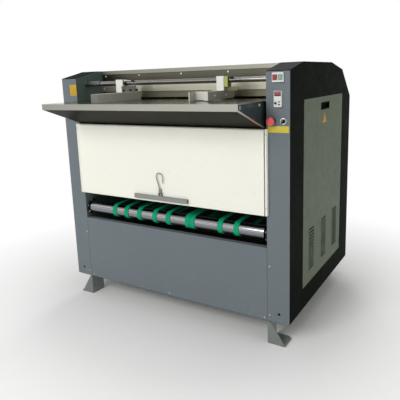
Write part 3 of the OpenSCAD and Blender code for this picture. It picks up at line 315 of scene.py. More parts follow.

# painted shade: a near-black tone laid by ambient occlusion into narrow corners, such as those under a
# louvre's hood
cornerShadeLook = {"reach": 0.006, "samples": 8, "clean": 0.84, "full": 0.55, "colour": (14, 17, 12)}


def paintFinish(name, look):
    material, tree, shader = startMaterial(name, look)
    skin = placeGroup(tree, paintSkin, Peel=look["peel"], Depth=look["depth"])
    rub = placeGroup(tree, edgeRub, Amount=look["rub"])["Mask"]
    dustAndShade = placeGroup(tree, dustAndShadeFall, Amount=look["dustAndShade"])["Mask"]
    marks = placeGroup(tree, handMarks, Amount=look["marks"])["Mask"]
    scratch = placeGroup(tree, fineScratch, Stretch=look["stretch"], Amount=look["scratch"])["Mask"]
    pale = tint(*look["edge"])
    colour = addScaled(tree, tint(*look["colour"])[:3], skin["Tone"])
    colour = addBlend(tree, addMath(tree, "MAXIMUM", rub, scratch), colour, pale)
    if look["scuff"]:
        scuff = placeGroup(tree, floorScuff, Amount=look["scuff"])["Mask"]
        colour = addBlend(tree, scuff, colour, pale)
    # dust, and on the side doors painted shade on the louvre hoods' tops
    colour = addBlend(tree, dustAndShade, colour, tint(*look["dustAndShadeColour"]))
    # painted shade: ambient occlusion darkens narrow corners towards a near-black tone
    if look["cornerShade"]:
        corner = addNode(tree, "AmbientOcclusion", {"Distance": cornerShadeLook["reach"]},
                         samples=cornerShadeLook["samples"], only_local=True).outputs["AO"]
        cornerShade = addSpan(tree, corner, cornerShadeLook["clean"], cornerShadeLook["full"], 0.0, look["cornerShade"])
        colour = addBlend(tree, cornerShade, colour, tint(*cornerShadeLook["colour"]))
    gloss = addShare(tree, skinGloss(tree, skin, look), marks, look["markDull"])
    gloss = addShare(tree, gloss, dustAndShade, look["dustDull"], True)
    putSurface(tree, shader, look, colour, gloss, skin["Height"])
    return material


# bare metal with brushed or turned lines; a zone may carry a second tone
metalUsual = {"rough": 0.32, "lineSpan": (0.25, 0.75), "swing": (-0.05, 0.07), "specular": 0.5,
              "metallic": 1, "stretch": (3, 500, 500), "depth": 0.3, "marks": 0.3,
              "markDull": 0.18, "skin": 0.08, "bump": 0.0004, "rub": 0.3, "rubRadius": 0.002,
              "edge": (205, 205, 202), "dustAndShade": 0, "dustAndShadeColour": (140, 138, 130), "scratch": 0.2,
              "scratchDull": 0.3, "soften": 0.0012}


def metalFinish(name, look):
    material, tree, shader = startMaterial(name, look)
    line = placeGroup(tree, brushLines, Stretch=look["stretch"], Depth=look["depth"])
    marks = placeGroup(tree, handMarks, Amount=look["marks"])["Mask"]
    rub = placeGroup(tree, edgeRub, Radius=look["rubRadius"], Amount=look["rub"])["Mask"]
    scratch = placeGroup(tree, fineScratch, Amount=look["scratch"])["Mask"]
    colour, rough = tint(*look["colour"]), look["rough"]
    limits = [rough + swing for swing in look["swing"]]
    lined = addSpan(tree, line["Height"], *look["lineSpan"], *limits)
    shader.inputs["Metallic"].default_value = look["metallic"]
    zone = look.get("zone")
    if zone:
        mask = zoneMask(tree, zone)
        colour = addBlend(tree, mask, colour, tint(*zone["colour"]))
        lined = addShare(tree, lined, mask, zone["rough"] - rough)
        if "metallic" in zone:
            metallic = addSpan(tree, mask, 0.0, 1.0, look["metallic"], zone["metallic"])
            tree.links.new(metallic, shader.inputs["Metallic"])
    else:
        colour = colour[:3]
    worn = addBlend(tree, rub, addScaled(tree, colour, line["Tone"]), tint(*look["edge"]))
    if look["dustAndShade"]:
        dustAndShade = placeGroup(tree, dustAndShadeFall, Amount=look["dustAndShade"])["Mask"]
        worn = addBlend(tree, dustAndShade, worn, tint(*look["dustAndShadeColour"]))
    lined = addShare(tree, lined, marks, look["markDull"])
    lined = addShare(tree, lined, scratch, look["scratchDull"], True)
    putSurface(tree, shader, look, worn, lined, line["Height"])
    return material


# moulded plastic with a fine spark-eroded skin; a worn edge keeps part of the colour and is lifted
plasticUsual = {"rough": 0.42, "swing": 0.06, "specular": 0.35, "grain": 1400, "cloud": 26,
                "skin": 0.12, "bump": 0.0003, "depth": 0.08, "rub": 0.25, "rubRadius": 0.001,
                "wornKeep": 0.6, "wornLift": 0.3, "soften": 0.0012, "glow": 0}


def plasticFinish(name, look):
    material, tree, shader = startMaterial(name, look)
    skin = placeGroup(tree, paintSkin, Peel=look["grain"], Cloud=look["cloud"], Depth=look["depth"])
    rub = placeGroup(tree, edgeRub, Radius=look["rubRadius"], Amount=look["rub"])["Mask"]
    colour = tint(*look["colour"])
    pale = (*(look["wornKeep"] * channel + look["wornLift"] for channel in colour[:3]), 1.0)
    worn = addBlend(tree, rub, addScaled(tree, colour[:3], skin["Tone"]), pale)
    if look["glow"]:
        shader.inputs["Emission Color"].default_value = colour
        shader.inputs["Emission Strength"].default_value = look["glow"]
    putSurface(tree, shader, look, worn, skinGloss(tree, skin, look), skin["Height"])
    return material


# woven belt: crossed fine ribs, darker between them and in smeared patches
beltUsual = {"rough": 0.5, "swing": 0.07, "specular": 0.3, "ribs": 350, "waver": 0.4,
             "between": (0.2, 0.8, 0.18, 0), "peel": 500, "cloud": 14, "depth": 0.25,
             "marks": 0.5, "markDark": 0.35, "skin": 0.15, "bump": 0.0003, "soften": 0.0008}


def beltFinish(name, look):
    material, tree, shader = startMaterial(name, look)
    rib = {"Vector": objectPlace(tree), "Scale": look["ribs"], "Distortion": look["waver"]}
    across = addNode(tree, "TexWave", rib, bands_direction="X").outputs["Fac"]
    along = addNode(tree, "TexWave", rib, bands_direction="Y").outputs["Fac"]
    weave = addMath(tree, "MULTIPLY", across, along)
    skin = placeGroup(tree, paintSkin, Peel=look["peel"], Cloud=look["cloud"], Depth=look["depth"])
    marks = placeGroup(tree, handMarks, Amount=look["marks"])["Mask"]
    dark = tint(*look["edge"])
    body = addScaled(tree, tint(*look["colour"])[:3], skin["Tone"])
    ribbed = addBlend(tree, addSpan(tree, weave, *look["between"]), body, dark)
    soiled = addBlend(tree, addMath(tree, "MULTIPLY", marks, look["markDark"]), ribbed, dark)
    putSurface(tree, shader, look, soiled, skinGloss(tree, skin, look), weave)
    return material


paintLooks = {
    "columnPaint": {"colour": (102, 111, 116), "edge": (150, 156, 162), "rough": 0.42, "scuff": 0.3},
    "housingPaint": {"colour": (13, 17, 13), "edge": (50, 56, 52), "rough": 0.5, "specular": 0.006,
                     "dustAndShade": 0.02, "marks": 0.1, "scuff": 0.2, "scratch": 0.04,
                     "dustAndShadeColour": (70, 72, 68)},
    "wallPaint": {"colour": (92, 108, 103), "edge": (98, 108, 104), "rough": 0.34, "specular": 0.12,
                  "depth": 0.12, "dustAndShade": 0.05},
    "endPaint": {"colour": (40, 50, 48), "edge": (92, 100, 98), "rough": 0.16, "dustAndShade": 0, "skin": 0.04},
    "insidePaint": {"colour": (84, 88, 74), "edge": (110, 112, 104), "rough": 0.55, "specular": 0.12,
                    "dustAndShade": 0.05},
    # side doors: the near-black tone on upward faces is painted shade on the louvre hoods' tops
    "doorPaint": {"colour": (86, 95, 78), "edge": (128, 136, 120), "rough": 0.46, "specular": 0.06,
                  # the corner tone here is painted shade under the louvre hoods
                  "rub": 0.7, "depth": 0.03, "scuff": 0.15, "scratch": 0.03, "cornerShade": 0.6, "dustAndShade": 2.5,
                  "dustAndShadeColour": (30, 34, 26)},
    "backPaint": {"colour": (74, 82, 70), "edge": (122, 130, 116), "rough": 0.46, "specular": 0.1,
                  "depth": 0.05, "dustAndShade": 0.08, "scuff": 0.2},
    "coverPaint": {"colour": (236, 236, 224), "edge": (204, 203, 192), "rough": 0.32, "depth": 0.04,
                   "rub": 0.4, "dustAndShade": 0.08, "skin": 0.06, "scratch": 0.1},
    "footPaint": {"colour": (116, 122, 119), "edge": (82, 80, 76), "rough": 0.5, "rub": 0.8,
                  "dustAndShade": 0.4, "depth": 0.22, "scuff": 0.3},
    "motorPaint": {"colour": (62, 84, 108), "edge": (140, 150, 158)},
    "castIron": {"colour": (34, 35, 36), "edge": (84, 84, 82), "rough": 0.55, "specular": 0.2,
                 "peel": 260, "skin": 0.35},
}
metalLooks = {
    "tableSteel": {"colour": (146, 146, 138), "rough": 0.36, "stretch": (2, 380, 380),
                   "zone": {"by": "Normal", "axis": "Z", "from": 0.5, "to": 0.9,
                            "colour": (126, 121, 106), "rough": 0.16}},
    "lidSteel": {"colour": (131, 130, 120), "rough": 0.4, "specular": 0.06, "stretch": (2, 380, 380),
                 "dustAndShade": 0.1,
                 "zone": {"by": "Normal", "axis": "Z", "from": 0.5, "to": 0.9,
                          "colour": (164, 162, 153), "rough": 0.5, "metallic": 0}},
    # tray skirt: the near-black non-metal tone is a painted dark reflection on the steel sheet, its paler
    # rubbed edges are partly wear and partly a painted highlight, and the bare steel ends keep the
    # sheet's own colour
    "traySteelDarkReflection": {"colour": (27, 25, 17), "rough": 0.42, "metallic": 0, "specular": 0.02,
                  "stretch": (2, 300, 300), "edge": (150, 146, 132),
                  "zone": {"by": "Object", "axis": "X", "mirrored": True, "from": 0.6173, "to": 0.6177,
                           "colour": (186, 184, 172), "rough": 0.3, "metallic": 1}},
    "guideSteel": {"colour": (189, 190, 181), "rough": 0.44, "metallic": 0.45, "specular": 0.3,
                   "stretch": (320, 3, 320)},
    "guideCapped": {"colour": (184, 185, 176), "rough": 0.44, "metallic": 0.45, "specular": 0.3,
                    "stretch": (320, 3, 320),
                    "zone": {"by": "Normal", "axis": "Y", "from": -0.5, "to": -0.9,
                             "colour": (114, 117, 110), "rough": 0.5}},
    # knife beam: its dark colour is a painted dark reflection on bare steel
    "beamSteelDarkReflection": {"colour": (83, 81, 71), "rough": 0.3, "stretch": (1.6, 300, 300), "depth": 0.45,
                  "edge": (150, 146, 136)},
    "barSteel": {"colour": (179, 177, 162), "rough": 0.4, "stretch": (1.6, 420, 420)},
    "pullSteel": {"colour": (140, 141, 140), "rough": 0.34, "stretch": (2, 420, 420)},
    # pressure plate: its dark colour is a painted dark reflection on bare steel
    "plateSteelDarkReflection": {"colour": (109, 107, 91), "rough": 0.4, "metallic": 0.85, "stretch": (1.6, 260, 260),
                   "depth": 0.45, "edge": (140, 134, 120)},
    "chromeRoll": {"colour": (134, 135, 138), "rough": 0.11, "stretch": (60, 240, 240), "depth": 0.14,
                   "skin": 0.02, "marks": 0.2, "rub": 0.1, "scratch": 0.15},
    "chromeRod": {"colour": (122, 121, 117), "rough": 0.12, "stretch": (60, 240, 240), "depth": 0.12,
                  "skin": 0.02, "marks": 0.2, "rub": 0.1},
    "satinSteel": {"colour": (104, 105, 104), "rough": 0.4, "stretch": (420, 8, 8)},
    "hookSteel": {"colour": (128, 128, 126), "rough": 0.3, "stretch": (90, 90, 90)},
    "turnedSteel": {"colour": (160, 160, 158), "rough": 0.34, "stretch": (700, 6, 6), "dustAndShade": 0.12},
    "clampBrass": {"colour": (102, 99, 80), "rough": 0.42, "metallic": 0.8, "stretch": (90, 90, 90),
                   "zone": {"by": "Object", "axis": "Z", "from": 1.3428, "to": 1.3432,
                            "colour": (142, 143, 80), "rough": 0.36}},
    "bezelRing": {"colour": (58, 52, 60), "rough": 0.4, "metallic": 0, "stretch": (120, 120, 120),
                  "edge": (120, 116, 122),
                  "zone": {"by": "Object", "axis": "X", "from": 0.69, "to": 0.692,
                           "colour": (214, 214, 214), "rough": 0.16, "metallic": 1}},
    "screwZinc": {"colour": (206, 206, 202), "rough": 0.28, "stretch": (200, 200, 200), "depth": 0.2},
    "screwDark": {"colour": (46, 47, 48), "rough": 0.4, "stretch": (200, 200, 200), "metallic": 0.6},
}
plasticLooks = {
    "blockWhite": {"colour": (232, 231, 224), "rough": 0.45},
    "plateWhite": {"colour": (214, 217, 213), "rough": 0.35},
    "knobBlack": {"colour": (18, 18, 19), "rough": 0.36, "specular": 0.2, "rub": 0.12},
    "cupBlack": {"colour": (6, 9, 5), "rough": 0.55, "specular": 0.006, "rub": 0.06},
    "stopRed": {"colour": (224, 80, 82), "rough": 0.32, "coat": 0.15},
    "keyRed": {"colour": (140, 22, 34), "rough": 0.3},
    "keyGreen": {"colour": (128, 154, 132), "rough": 0.35},
    "keyGrey": {"colour": (120, 124, 126), "rough": 0.4},
    "windowRed": {"colour": (108, 44, 53), "rough": 0.12, "depth": 0.03, "skin": 0.02, "rub": 0.05},
    "digitPink": {"colour": (220, 124, 134), "rough": 0.4, "rub": 0, "glow": 0.3},
    "markWhite": {"colour": (228, 228, 224), "rough": 0.4, "rub": 0},
    "markRose": {"colour": (176, 96, 104), "rough": 0.4, "rub": 0},
    "markPale": {"colour": (200, 214, 200), "rough": 0.4, "rub": 0},
    "plateYellow": {"colour": (202, 185, 62), "rough": 0.36, "depth": 0.12},
    "plateAmber": {"colour": (186, 150, 22), "rough": 0.36, "depth": 0.12},
    "plateOrange": {"colour": (188, 130, 44), "rough": 0.4, "specular": 0.04, "depth": 0.12},
}
beltLooks = {
    "beltGreen": {"colour": (8, 160, 114), "edge": (4, 84, 60), "specular": 0.12},
    "beltBlack": {"colour": (30, 30, 31), "edge": (12, 12, 12), "rough": 0.6, "specular": 0.2},
}
finishes = {}
for makeFinish, usual, looks in (
        (paintFinish, paintUsual, paintLooks), (metalFinish, metalUsual, metalLooks),
        (plasticFinish, plasticUsual, plasticLooks), (beltFinish, beltUsual, beltLooks)):
    finishes.update({name: makeFinish(name, {**usual, **own}) for name, own in looks.items()})
print("finishes made:", len(finishes))

nodeFinish = {
    "columnPaint": ["left_column", "right_column", "lower_front_panel"],
    "housingPaint": ["left_housing", "right_housing"],
    "wallPaint": ["left_inner_wall", "right_inner_wall"],
    "endPaint": ["tray_end_plates"],
    "insidePaint": ["floor_pan", "drum_guide"],
    "doorPaint": ["left_side_door", "right_side_door"],
    "backPaint": ["rear_panel"],
    "coverPaint": ["front_cover", "cover_side_strips"],
    "footPaint": ["feet"],
    "motorPaint": ["gear_motor"],
    "castIron": ["roller_bearings", "drum_pulley", "motor_pulley"],
    "tableSteel": ["feed_table"],
    "lidSteel": ["top_lid"],
    "traySteelDarkReflection": ["tray_skirt"],
    "guideSteel": ["right_guide"],
    "guideCapped": ["left_guide"],
    "beamSteelDarkReflection": ["knife_beam"],
    "barSteel": ["front_bar"],
    "pullSteel": ["cover_pull"],
    "plateSteelDarkReflection": ["pressure_plate"],
    "chromeRoll": ["exit_roller", "rear_exit_roller", "front_feed_roller", "rear_feed_roller"],
    "chromeRod": ["guide_rod"],
    "satinSteel": ["rod_sleeves"],
    "hookSteel": ["cover_hook"],
    "turnedSteel": ["grooving_drum", "knife_bar", "left_knife_holder", "right_knife_holder",
                    "left_knife", "right_knife", "hinge_pins"],
    "clampBrass": ["right_clamp"],
    "bezelRing": ["control_bezels"],
    "blockWhite": ["left_carriage", "right_carriage"],
    "plateWhite": ["switch_plate", "keypad"],
    "knobBlack": ["selector_knob", "speed_knob"],
    "cupBlack": ["left_door_pull", "right_door_pull"],
    "stopRed": ["stop_head"],
    "keyRed": ["stop_button"],
    "keyGreen": ["start_button"],
    "beltGreen": ["feed_belts", "exit_belts"],
    "beltBlack": ["drive_belt"],
}
for finishName, names in nodeFinish.items():
    for nodeName in names:
        mesh = nodes[nodeName].data
        mesh.materials.clear()
        mesh.materials.append(finishes[finishName])
print("CAD nodes dressed:", sum(len(names) for names in nodeFinish.values()))


# quads between neighbouring points of a grid, closed round where it wraps
def gridFaces(rows, columns, wrapRows, wrapColumns):
    i, j = np.meshgrid(np.arange(rows if wrapRows else rows - 1),
                       np.arange(columns if wrapColumns else columns - 1), indexing="ij")
    nextRow, nextColumn = (i + 1) % rows, (j + 1) % columns
    corners = [(i, j), (i, nextColumn), (nextRow, nextColumn), (nextRow, j)]
    return np.stack([row * columns + column for row, column in corners], -1).reshape(-1, 4)


weldGap, tinyEdge = 1e-6, 1e-7


def addObject(name, data):
    made = bpy.data.objects.new(name, data)
    bpy.context.scene.collection.objects.link(made)
    return made


# joins grids into one closed piece that rides on a body; a grid closes round its columns, and a ring
# closes round its rows too
def addPiece(name, grids, finish, body, ring=False, sharp=35.0):
    points, faces, start = [], [], 0
    for grid in grids:
        rows, columns = grid.shape[:2]
        points.append(grid.reshape(-1, 3))
        faces.append(gridFaces(rows, columns, ring, True) + start)
        start += rows * columns
    mesh = bpy.data.meshes.new(name)
    mesh.from_pydata(np.concatenate(points).tolist(), [], np.concatenate(faces).tolist())
    work = bmesh.new()
    work.from_mesh(mesh)
    bmesh.ops.remove_doubles(work, verts=work.verts, dist=weldGap)
    bmesh.ops.dissolve_degenerate(work, edges=work.edges, dist=tinyEdge)
    bmesh.ops.recalc_face_normals(work, faces=work.faces)
    work.to_mesh(mesh)
    work.free()
    mesh.shade_smooth()
    mesh.set_sharp_from_angle(angle=math.radians(sharp))
    mesh.materials.append(finishes[finish])
    piece = addObject(name, mesh)
    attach(piece, body)


# lowest corner, highest corner and middle of a CAD node in millimetres
def box(nodeName):
    low, high = (np.array(corner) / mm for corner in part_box(nodeName))
    return low, high, (low + high) / 2


# local points (along, up, out) set on a spot, with out along the given direction and up as near to +Z as
# it can be, or to +Y where out is steep
steep = 0.9


def seat(local, at, out):
    out = np.asarray(out, float) / np.linalg.norm(out)
    upright = np.array([0.0, 1.0, 0.0]) if abs(out[2]) > steep else np.array([0.0, 0.0, 1.0])
    along = np.cross(upright, out)
    along /= np.linalg.norm(along)
    return np.asarray(at) * mm + local @ np.stack([along, np.cross(out, along), out])


front, rear, right, left = (0, -1, 0), (0, 1, 0), (1, 0, 0), (-1, 0, 0)


# radius over angle of a ring: a circle, a hexagon with its corners on it, or a plus with arms a third as
# wide as it is long
crossArm = 0.34


def ringShape(kind, angle):
    if "hex" in kind:
        return np.cos(np.pi / 6) / np.cos(angle % (np.pi / 3) - np.pi / 6)
    if "cross" in kind:
        fold = np.abs((angle + np.pi / 4) % (np.pi / 2) - np.pi / 4)
        return np.minimum(1 / np.cos(fold), crossArm / np.maximum(np.sin(fold), 1e-6))
    return np.ones_like(angle)


# rings of (radius, out) in millimetres stacked along one axis; circles alone make a turned profile, and a
# third item gives a ring another shape
def stacked(rings, steps=48):
    angle = np.linspace(0.0, 2 * np.pi, steps, endpoint=False)
    radius = np.stack([size * ringShape(kind, angle) for size, _, *kind in rings]) * mm
    out = np.array([lift for _, lift, *_ in rings])[:, None] * mm + np.zeros_like(radius)
    return np.stack([radius * np.cos(angle), radius * np.sin(angle), out], -1)


# a flat plate with rounded corners and a softened rim: each corner is an arc about a fixed centre, and
# the whole outline shrinks towards the middle as the plate rises
rimShare = 0.3


def plate(corners, corner, thick, rim, steps=6):
    corners = np.asarray(corners, float)
    ahead = np.roll(corners, -1, 0) - corners
    ahead /= np.linalg.norm(ahead, axis=1, keepdims=True)
    behind = np.roll(ahead, 1, 0)
    leave = np.arctan2(-ahead[:, 0], ahead[:, 1])
    arrive = np.arctan2(-behind[:, 0], behind[:, 1])
    sweep = (leave - arrive + np.pi) % (2 * np.pi) - np.pi
    inward = (ahead - behind) / np.linalg.norm(ahead - behind, axis=1, keepdims=True)
    centres = corners + inward * (corner / np.cos(sweep / 2))[:, None]
    turn = arrive[:, None] + sweep[:, None] * np.linspace(0, 1, steps)
    spoke = np.stack([np.cos(turn), np.sin(turn)], -1)
    inset = np.array([0.0, 0.0, rimShare * rim, rim])
    out = np.array([0.0, thick - rim, thick - rimShare * rim, thick])
    reach = (corner - inset)[:, None, None, None]
    ring = (centres[None, :, None] + reach * spoke).reshape(len(inset), -1, 2)
    middle = np.repeat(corners.mean(0)[None, None], ring.shape[1], 1)
    height = np.concatenate([[0.0], out, [thick]])[:, None, None] + np.zeros((1, ring.shape[1], 1))
    return np.concatenate([np.concatenate([middle, ring, middle]), height], -1) * mm


def rectangle(width, height):
    x, z = width / 2, height / 2
    return [(-x, -z), (x, -z), (x, z), (-x, z)]


# a closed profile of (y, z) carried straight along x, with both ends closed at the profile's middle
def bar(profile, x0, x1):
    profile = np.asarray(profile, float)
    middle = np.repeat(profile.mean(0)[None], len(profile), 0)
    outline = np.stack([middle, profile, profile, middle])
    along = np.array([x0, x0, x1, x1])[:, None, None] + np.zeros((1, len(profile), 1))
    return np.concatenate([along, outline], -1) * mm


# heads as stacked rings: a domed pan head with a cross recess, a cap head with a hexagon socket, a
# hexagon on a washer, and a bare hexagon
heads = {
    "pan": [(4.2, -0.3), (4.2, 0.7), (3.9, 1.5), (3.3, 2.1), (2.8, 2.35), (2.4, 2.45, "cross"),
            (2.1, 0.9, "cross"), (0, 0.9)],
    "cap": [(5, -0.3), (5, 7.3), (4.5, 8), (2.9, 8, "hex"), (2.8, 4.4, "hex"), (0, 4.4)],
    "hex": [(6.2, -0.3), (6.2, 1), (5.8, 1.2), (4.4, 1.2, "hex"), (4.4, 4.4, "hex"), (3.6, 5),
            (0, 5)],
    "slim": [(4.3, -0.3, "hex"), (4.3, 3.2, "hex"), (3.6, 3.8), (0, 3.8)],
}


def addHeads(name, kind, places, out, body, finish="screwZinc", size=1.0):
    head = stacked(heads[kind]) * size
    addPiece(name, [seat(head, at, out) for at in places], finish, body, sharp=40.0)


# screws of the columns, the lower panel and the cover's side strips: distances from the sheets' edges
sheetScrews = {"columnIn": 12, "columnUp": (34, 303), "panelIn": 16, "panelUp": 13,
               "stripUp": 39, "stripDown": 26, "stripSize": 0.85}


def makeSheetScrews(look):
    columnLow, _, _ = box("right_column")
    panelLow, panelHigh, panelMid = box("lower_front_panel")
    stripLow, stripHigh, _ = box("cover_side_strips")
    columnX, stripX = columnLow[0] + look["columnIn"], (stripHigh[0] + columnLow[0]) / 2
    panelX, panelZ = panelHigh[0] - look["panelIn"], panelLow[2] + look["panelUp"]
    levels = [columnLow[2] + up for up in look["columnUp"]]
    places = [(x, columnLow[1], z) for x in (-columnX, columnX) for z in levels]
    places += [(x, panelLow[1], panelZ) for x in (-panelX, panelMid[0], panelX)]
    addHeads("columnScrews", "pan", places, front, "frame")
    levels = (stripLow[2] + look["stripUp"], stripHigh[2] - look["stripDown"])
    places = [(x, stripLow[1], z) for x in (-stripX, stripX) for z in levels]
    addHeads("stripScrews", "pan", places, front, "frame", size=look["stripSize"])


# screws across the feed opening, and in the tray's end plates
openingScrews = {"beamPlaces": (-602, -327, -13, 299, 588), "beamDrop": 32, "beamSize": 1.5,
                 "barIn": 20, "barCount": 4, "barSize": 1.1, "trayBack": 229, "trayDrop": 15,
                 "traySize": 1.5}


def makeOpeningScrews(look):
    beamLow, beamHigh, _ = box("knife_beam")
    barLow, barHigh, barMid = box("front_bar")
    endLow, endHigh, _ = box("tray_end_plates")
    beamZ, inset = beamHigh[2] - look["beamDrop"], look["barIn"]
    places = [(x, beamLow[1], beamZ) for x in look["beamPlaces"]]
    addHeads("beamScrews", "pan", places, front, "frame", size=look["beamSize"])
    across = np.linspace(barLow[0] + inset, barHigh[0] - inset, look["barCount"])
    places = [(x, barLow[1], barMid[2]) for x in across]
    addHeads("barScrews", "pan", places, front, "frame", size=look["barSize"])
    endY, endZ = endLow[1] + look["trayBack"], endHigh[2] - look["trayDrop"]
    for name, x, out in (("trayScrewsRight", endHigh[0], right), ("trayScrewsLeft", endLow[0], left)):
        addHeads(name, "pan", [(x, endY, endZ)], out, "frame", size=look["traySize"])


# screws of the side guides: in the right guide's bar and in the holes of the left guide's bracket
guideScrews = {"rightEnds": (70, 89), "rightSize": 1.3, "bracketThick": 4, "bracketDrop": 25,
               "bracketBack": 32, "bracketSize": 1.25, "step": 60, "count": 3}


def makeGuideScrews(look):
    low, high, mid = box("right_guide")
    ends = (low[1] + look["rightEnds"][0], high[1] - look["rightEnds"][1])
    places = [(high[0], y, mid[2]) for y in ends]
    addHeads("guideScrews", "pan", places, right, "right_fence", size=look["rightSize"])
    low, high, _ = box("left_guide")
    holeX, holeZ = low[0] + look["bracketThick"], high[2] - look["bracketDrop"]
    holes = high[1] - look["bracketBack"] - look["step"] * np.arange(look["count"])
    places = [(holeX, y, holeZ) for y in holes]
    addHeads("bracketScrews", "cap", places, right, "left_fence", "screwDark", look["bracketSize"])


# screws of the rear sheet and of the knife holders, and the bolts on the shaft ends
hiddenScrews = {"rearIn": 20, "rearUp": (22, 560, 1090), "rearCount": 4, "rearSize": 1.2,
                "holderEnds": (18, 8), "holderSize": 0.8, "drumSize": 3, "motorSize": 1.9}


def makeHiddenScrews(look):
    low, high, _ = box("rear_panel")
    inset, holderSize = look["rearIn"], look["holderSize"]
    across = np.linspace(low[0] + inset, high[0] - inset, look["rearCount"])
    places = [(x, high[1], low[2] + up) for x in across for up in look["rearUp"]]
    addHeads("rearScrews", "pan", places, rear, "frame", size=look["rearSize"])
    for side in ("left", "right"):
        low, high, mid = box(side + "_knife_holder")
        ends = (low[2] + look["holderEnds"][0], high[2] - look["holderEnds"][1])
        places = [(mid[0], low[1], z) for z in ends]
        addHeads(side + "KnifeScrews", "cap", places, front, side + "_cutter", "screwDark", holderSize)
    for name, nodeName, body, size in (("drumShaftBolt", "grooving_drum", "drum", "drumSize"),
                                       ("motorShaftBolt", "motor_pulley", "motor_shaft", "motorSize")):
        _, high, mid = box(nodeName)
        addHeads(name, "hex", [(high[0], mid[1], mid[2])], right, body, size=look[size])


# bolts round the flange bearings on both walls: bolt circle, count, first angle and size for each shaft,
# and how far in from the bearings' outer ends the flanges' faces lie
bearingBolts = {"exit_roller": (42, 6, 160, 0.95), "rear_exit_roller": (42, 6, 160, 0.95),
                "grooving_drum": (47, 6, 90, 1.4), "front_feed_roller": (29, 4, 45, 0.75),
                "rear_feed_roller": (29, 4, 45, 0.75)}
flangeBack = 19.0


def makeBearingBolts():
    flangeX = box("roller_bearings")[1][0] - flangeBack
    for name, x, out in (("leftBearingBolts", -flangeX, right), ("rightBearingBolts", flangeX, left)):
        grids = []
        for nodeName, (radius, count, first, size) in bearingBolts.items():
            _, _, (_, y, z) = box(nodeName)
            turn = np.radians(first) + np.linspace(0.0, 2 * np.pi, count, endpoint=False)
            head = stacked(heads["slim"]) * size
            circle = zip(y + radius * np.cos(turn), z + radius * np.sin(turn))
            grids += [seat(head, (x, *place), out) for place in circle]
        addPiece(name, grids, "screwZinc", "frame")


makeSheetScrews(sheetScrews)
makeOpeningScrews(openingScrews)
makeGuideScrews(guideScrews)
makeHiddenScrews(hiddenScrews)
makeBearingBolts()
print("fasteners set")

# bare plates where the machine carries signs: sizes, and places from the edges of what carries them
plateLook = {"corner": 3, "thick": 0.7, "rim": 0.3}
signPlates = {"rightSize": (108, 32), "rightAcross": 2.5, "rightDrop": 273.5, "leftSize": (56, 68),
              "leftIn": 28, "leftDrop": 69, "doorSize": (76, 54), "doorForward": 11,
              "doorDrop": 47, "rimOut": 2}


def addPlate(name, corners, at, out, body, finish, corner=None, thick=None):
    thick = thick or plateLook["thick"]
    grid = plate(corners, corner or plateLook["corner"], thick, min(plateLook["rim"], thick / 2))
    addPiece(name, [seat(grid, at, out)], finish, body)


def makeSignPlates(look):
    low, high, mid = box("right_column")
    at = (mid[0] + look["rightAcross"], low[1], high[2] - look["rightDrop"])
    addPlate("rightColumnPlate", rectangle(*look["rightSize"]), at, front, "frame", "plateYellow")
    low, high, _ = box("left_column")
    at = (high[0] - look["leftIn"], low[1], high[2] - look["leftDrop"])
    addPlate("leftColumnPlate", rectangle(*look["leftSize"]), at, front, "frame", "plateAmber")
    low, high, mid = box("right_door_pull")
    at = (high[0] - look["rimOut"], mid[1] - look["doorForward"], low[2] - look["doorDrop"])
    wide, tall = look["doorSize"]
    triangle = [(-wide / 2, -tall / 2), (wide / 2, -tall / 2), (0, tall / 2)]
    addPlate("rightDoorPlate", triangle, at, right, "right_door", "plateOrange")


makeSignPlates(signPlates)
print("bare plates set")

# turned-in hem along the cover's lower edge: a half round that stands just proud of the sheet, flattened
# by a small power of its sine and cosine
hemLook = {"up": 0.3, "height": 11.3, "proud": 1.2, "sunk": 0.1, "inset": 0.5, "flatness": 0.3,
           "points": 9}


def makeHem(look):
    low, high, _ = box("front_cover")
    turn = np.linspace(0.0, np.pi, look["points"])
    deep = look["proud"] + look["sunk"]
    half = look["height"] / 2
    swing = np.sign(np.cos(turn)) * np.abs(np.cos(turn)) ** look["flatness"]
    z = low[2] + look["up"] + half - half * swing
    y = low[1] + look["sunk"] - deep * np.sin(turn) ** look["flatness"]
    grid = bar(np.stack([y, z], -1), low[0] + look["inset"], high[0] - look["inset"])
    addPiece("coverHem", [grid], "coverPaint", "cover")


# small plates that stand for the brackets of the tray's front corners
bracketLook = {"size": (17, 15.5), "corner": 2.5, "thick": 2, "back": 26, "drop": 15}


def makeTrayBrackets(look):
    low, high, _ = box("tray_end_plates")
    y, z = low[1] + look["back"], high[2] - look["drop"]
    for name, x, out in (("trayBracketRight", high[0], right), ("trayBracketLeft", low[0], left)):
        addPlate(name, rectangle(*look["size"]), (x, y, z), out, "frame", "pullSteel",
                 look["corner"], look["thick"])


# clamp levers of the side guides: a collar on the rod, a boss, a slim tapered arm and a round-ended grip,
# and the ring that closes the rod's sleeve at the left wall; the lists are profiles of (radius, along)
leverLook = {
    "collar": [(12.7, 0), (15.5, 0), (16.2, 0.7), (16.2, 20.3), (15.5, 21), (12.7, 21)],
    "boss": [(0, -3), (4.6, -3), (4.6, 5), (4.2, 6.6), (3, 7.6), (0, 8)],
    "arm": [(0, 0), (3.2, 0), (3, 6), (2.3, 26), (2.3, 52), (0, 52)],
    "shortArm": [(0, 0), (4, 0), (3.4, 3), (3, 14), (0, 14)],
    "grip": [(0, 0), (3.6, 0), (5.2, 1.2), (6, 5), (6.2, 10), (5.9, 15), (4.8, 18.6),
             (2.8, 20.6), (0, 21.2)],
    "sleeveRing": [(16.6, 0), (18, 0), (18.4, 0.6), (18.4, 4.4), (18, 5), (16.6, 5)],
    "lift": (-16, 12), "bossShare": 0.8, "bossIn": 14, "armIn": 12, "gripIn": 62,
    "clampWidth": 22, "rightGripIn": 12.5,
}


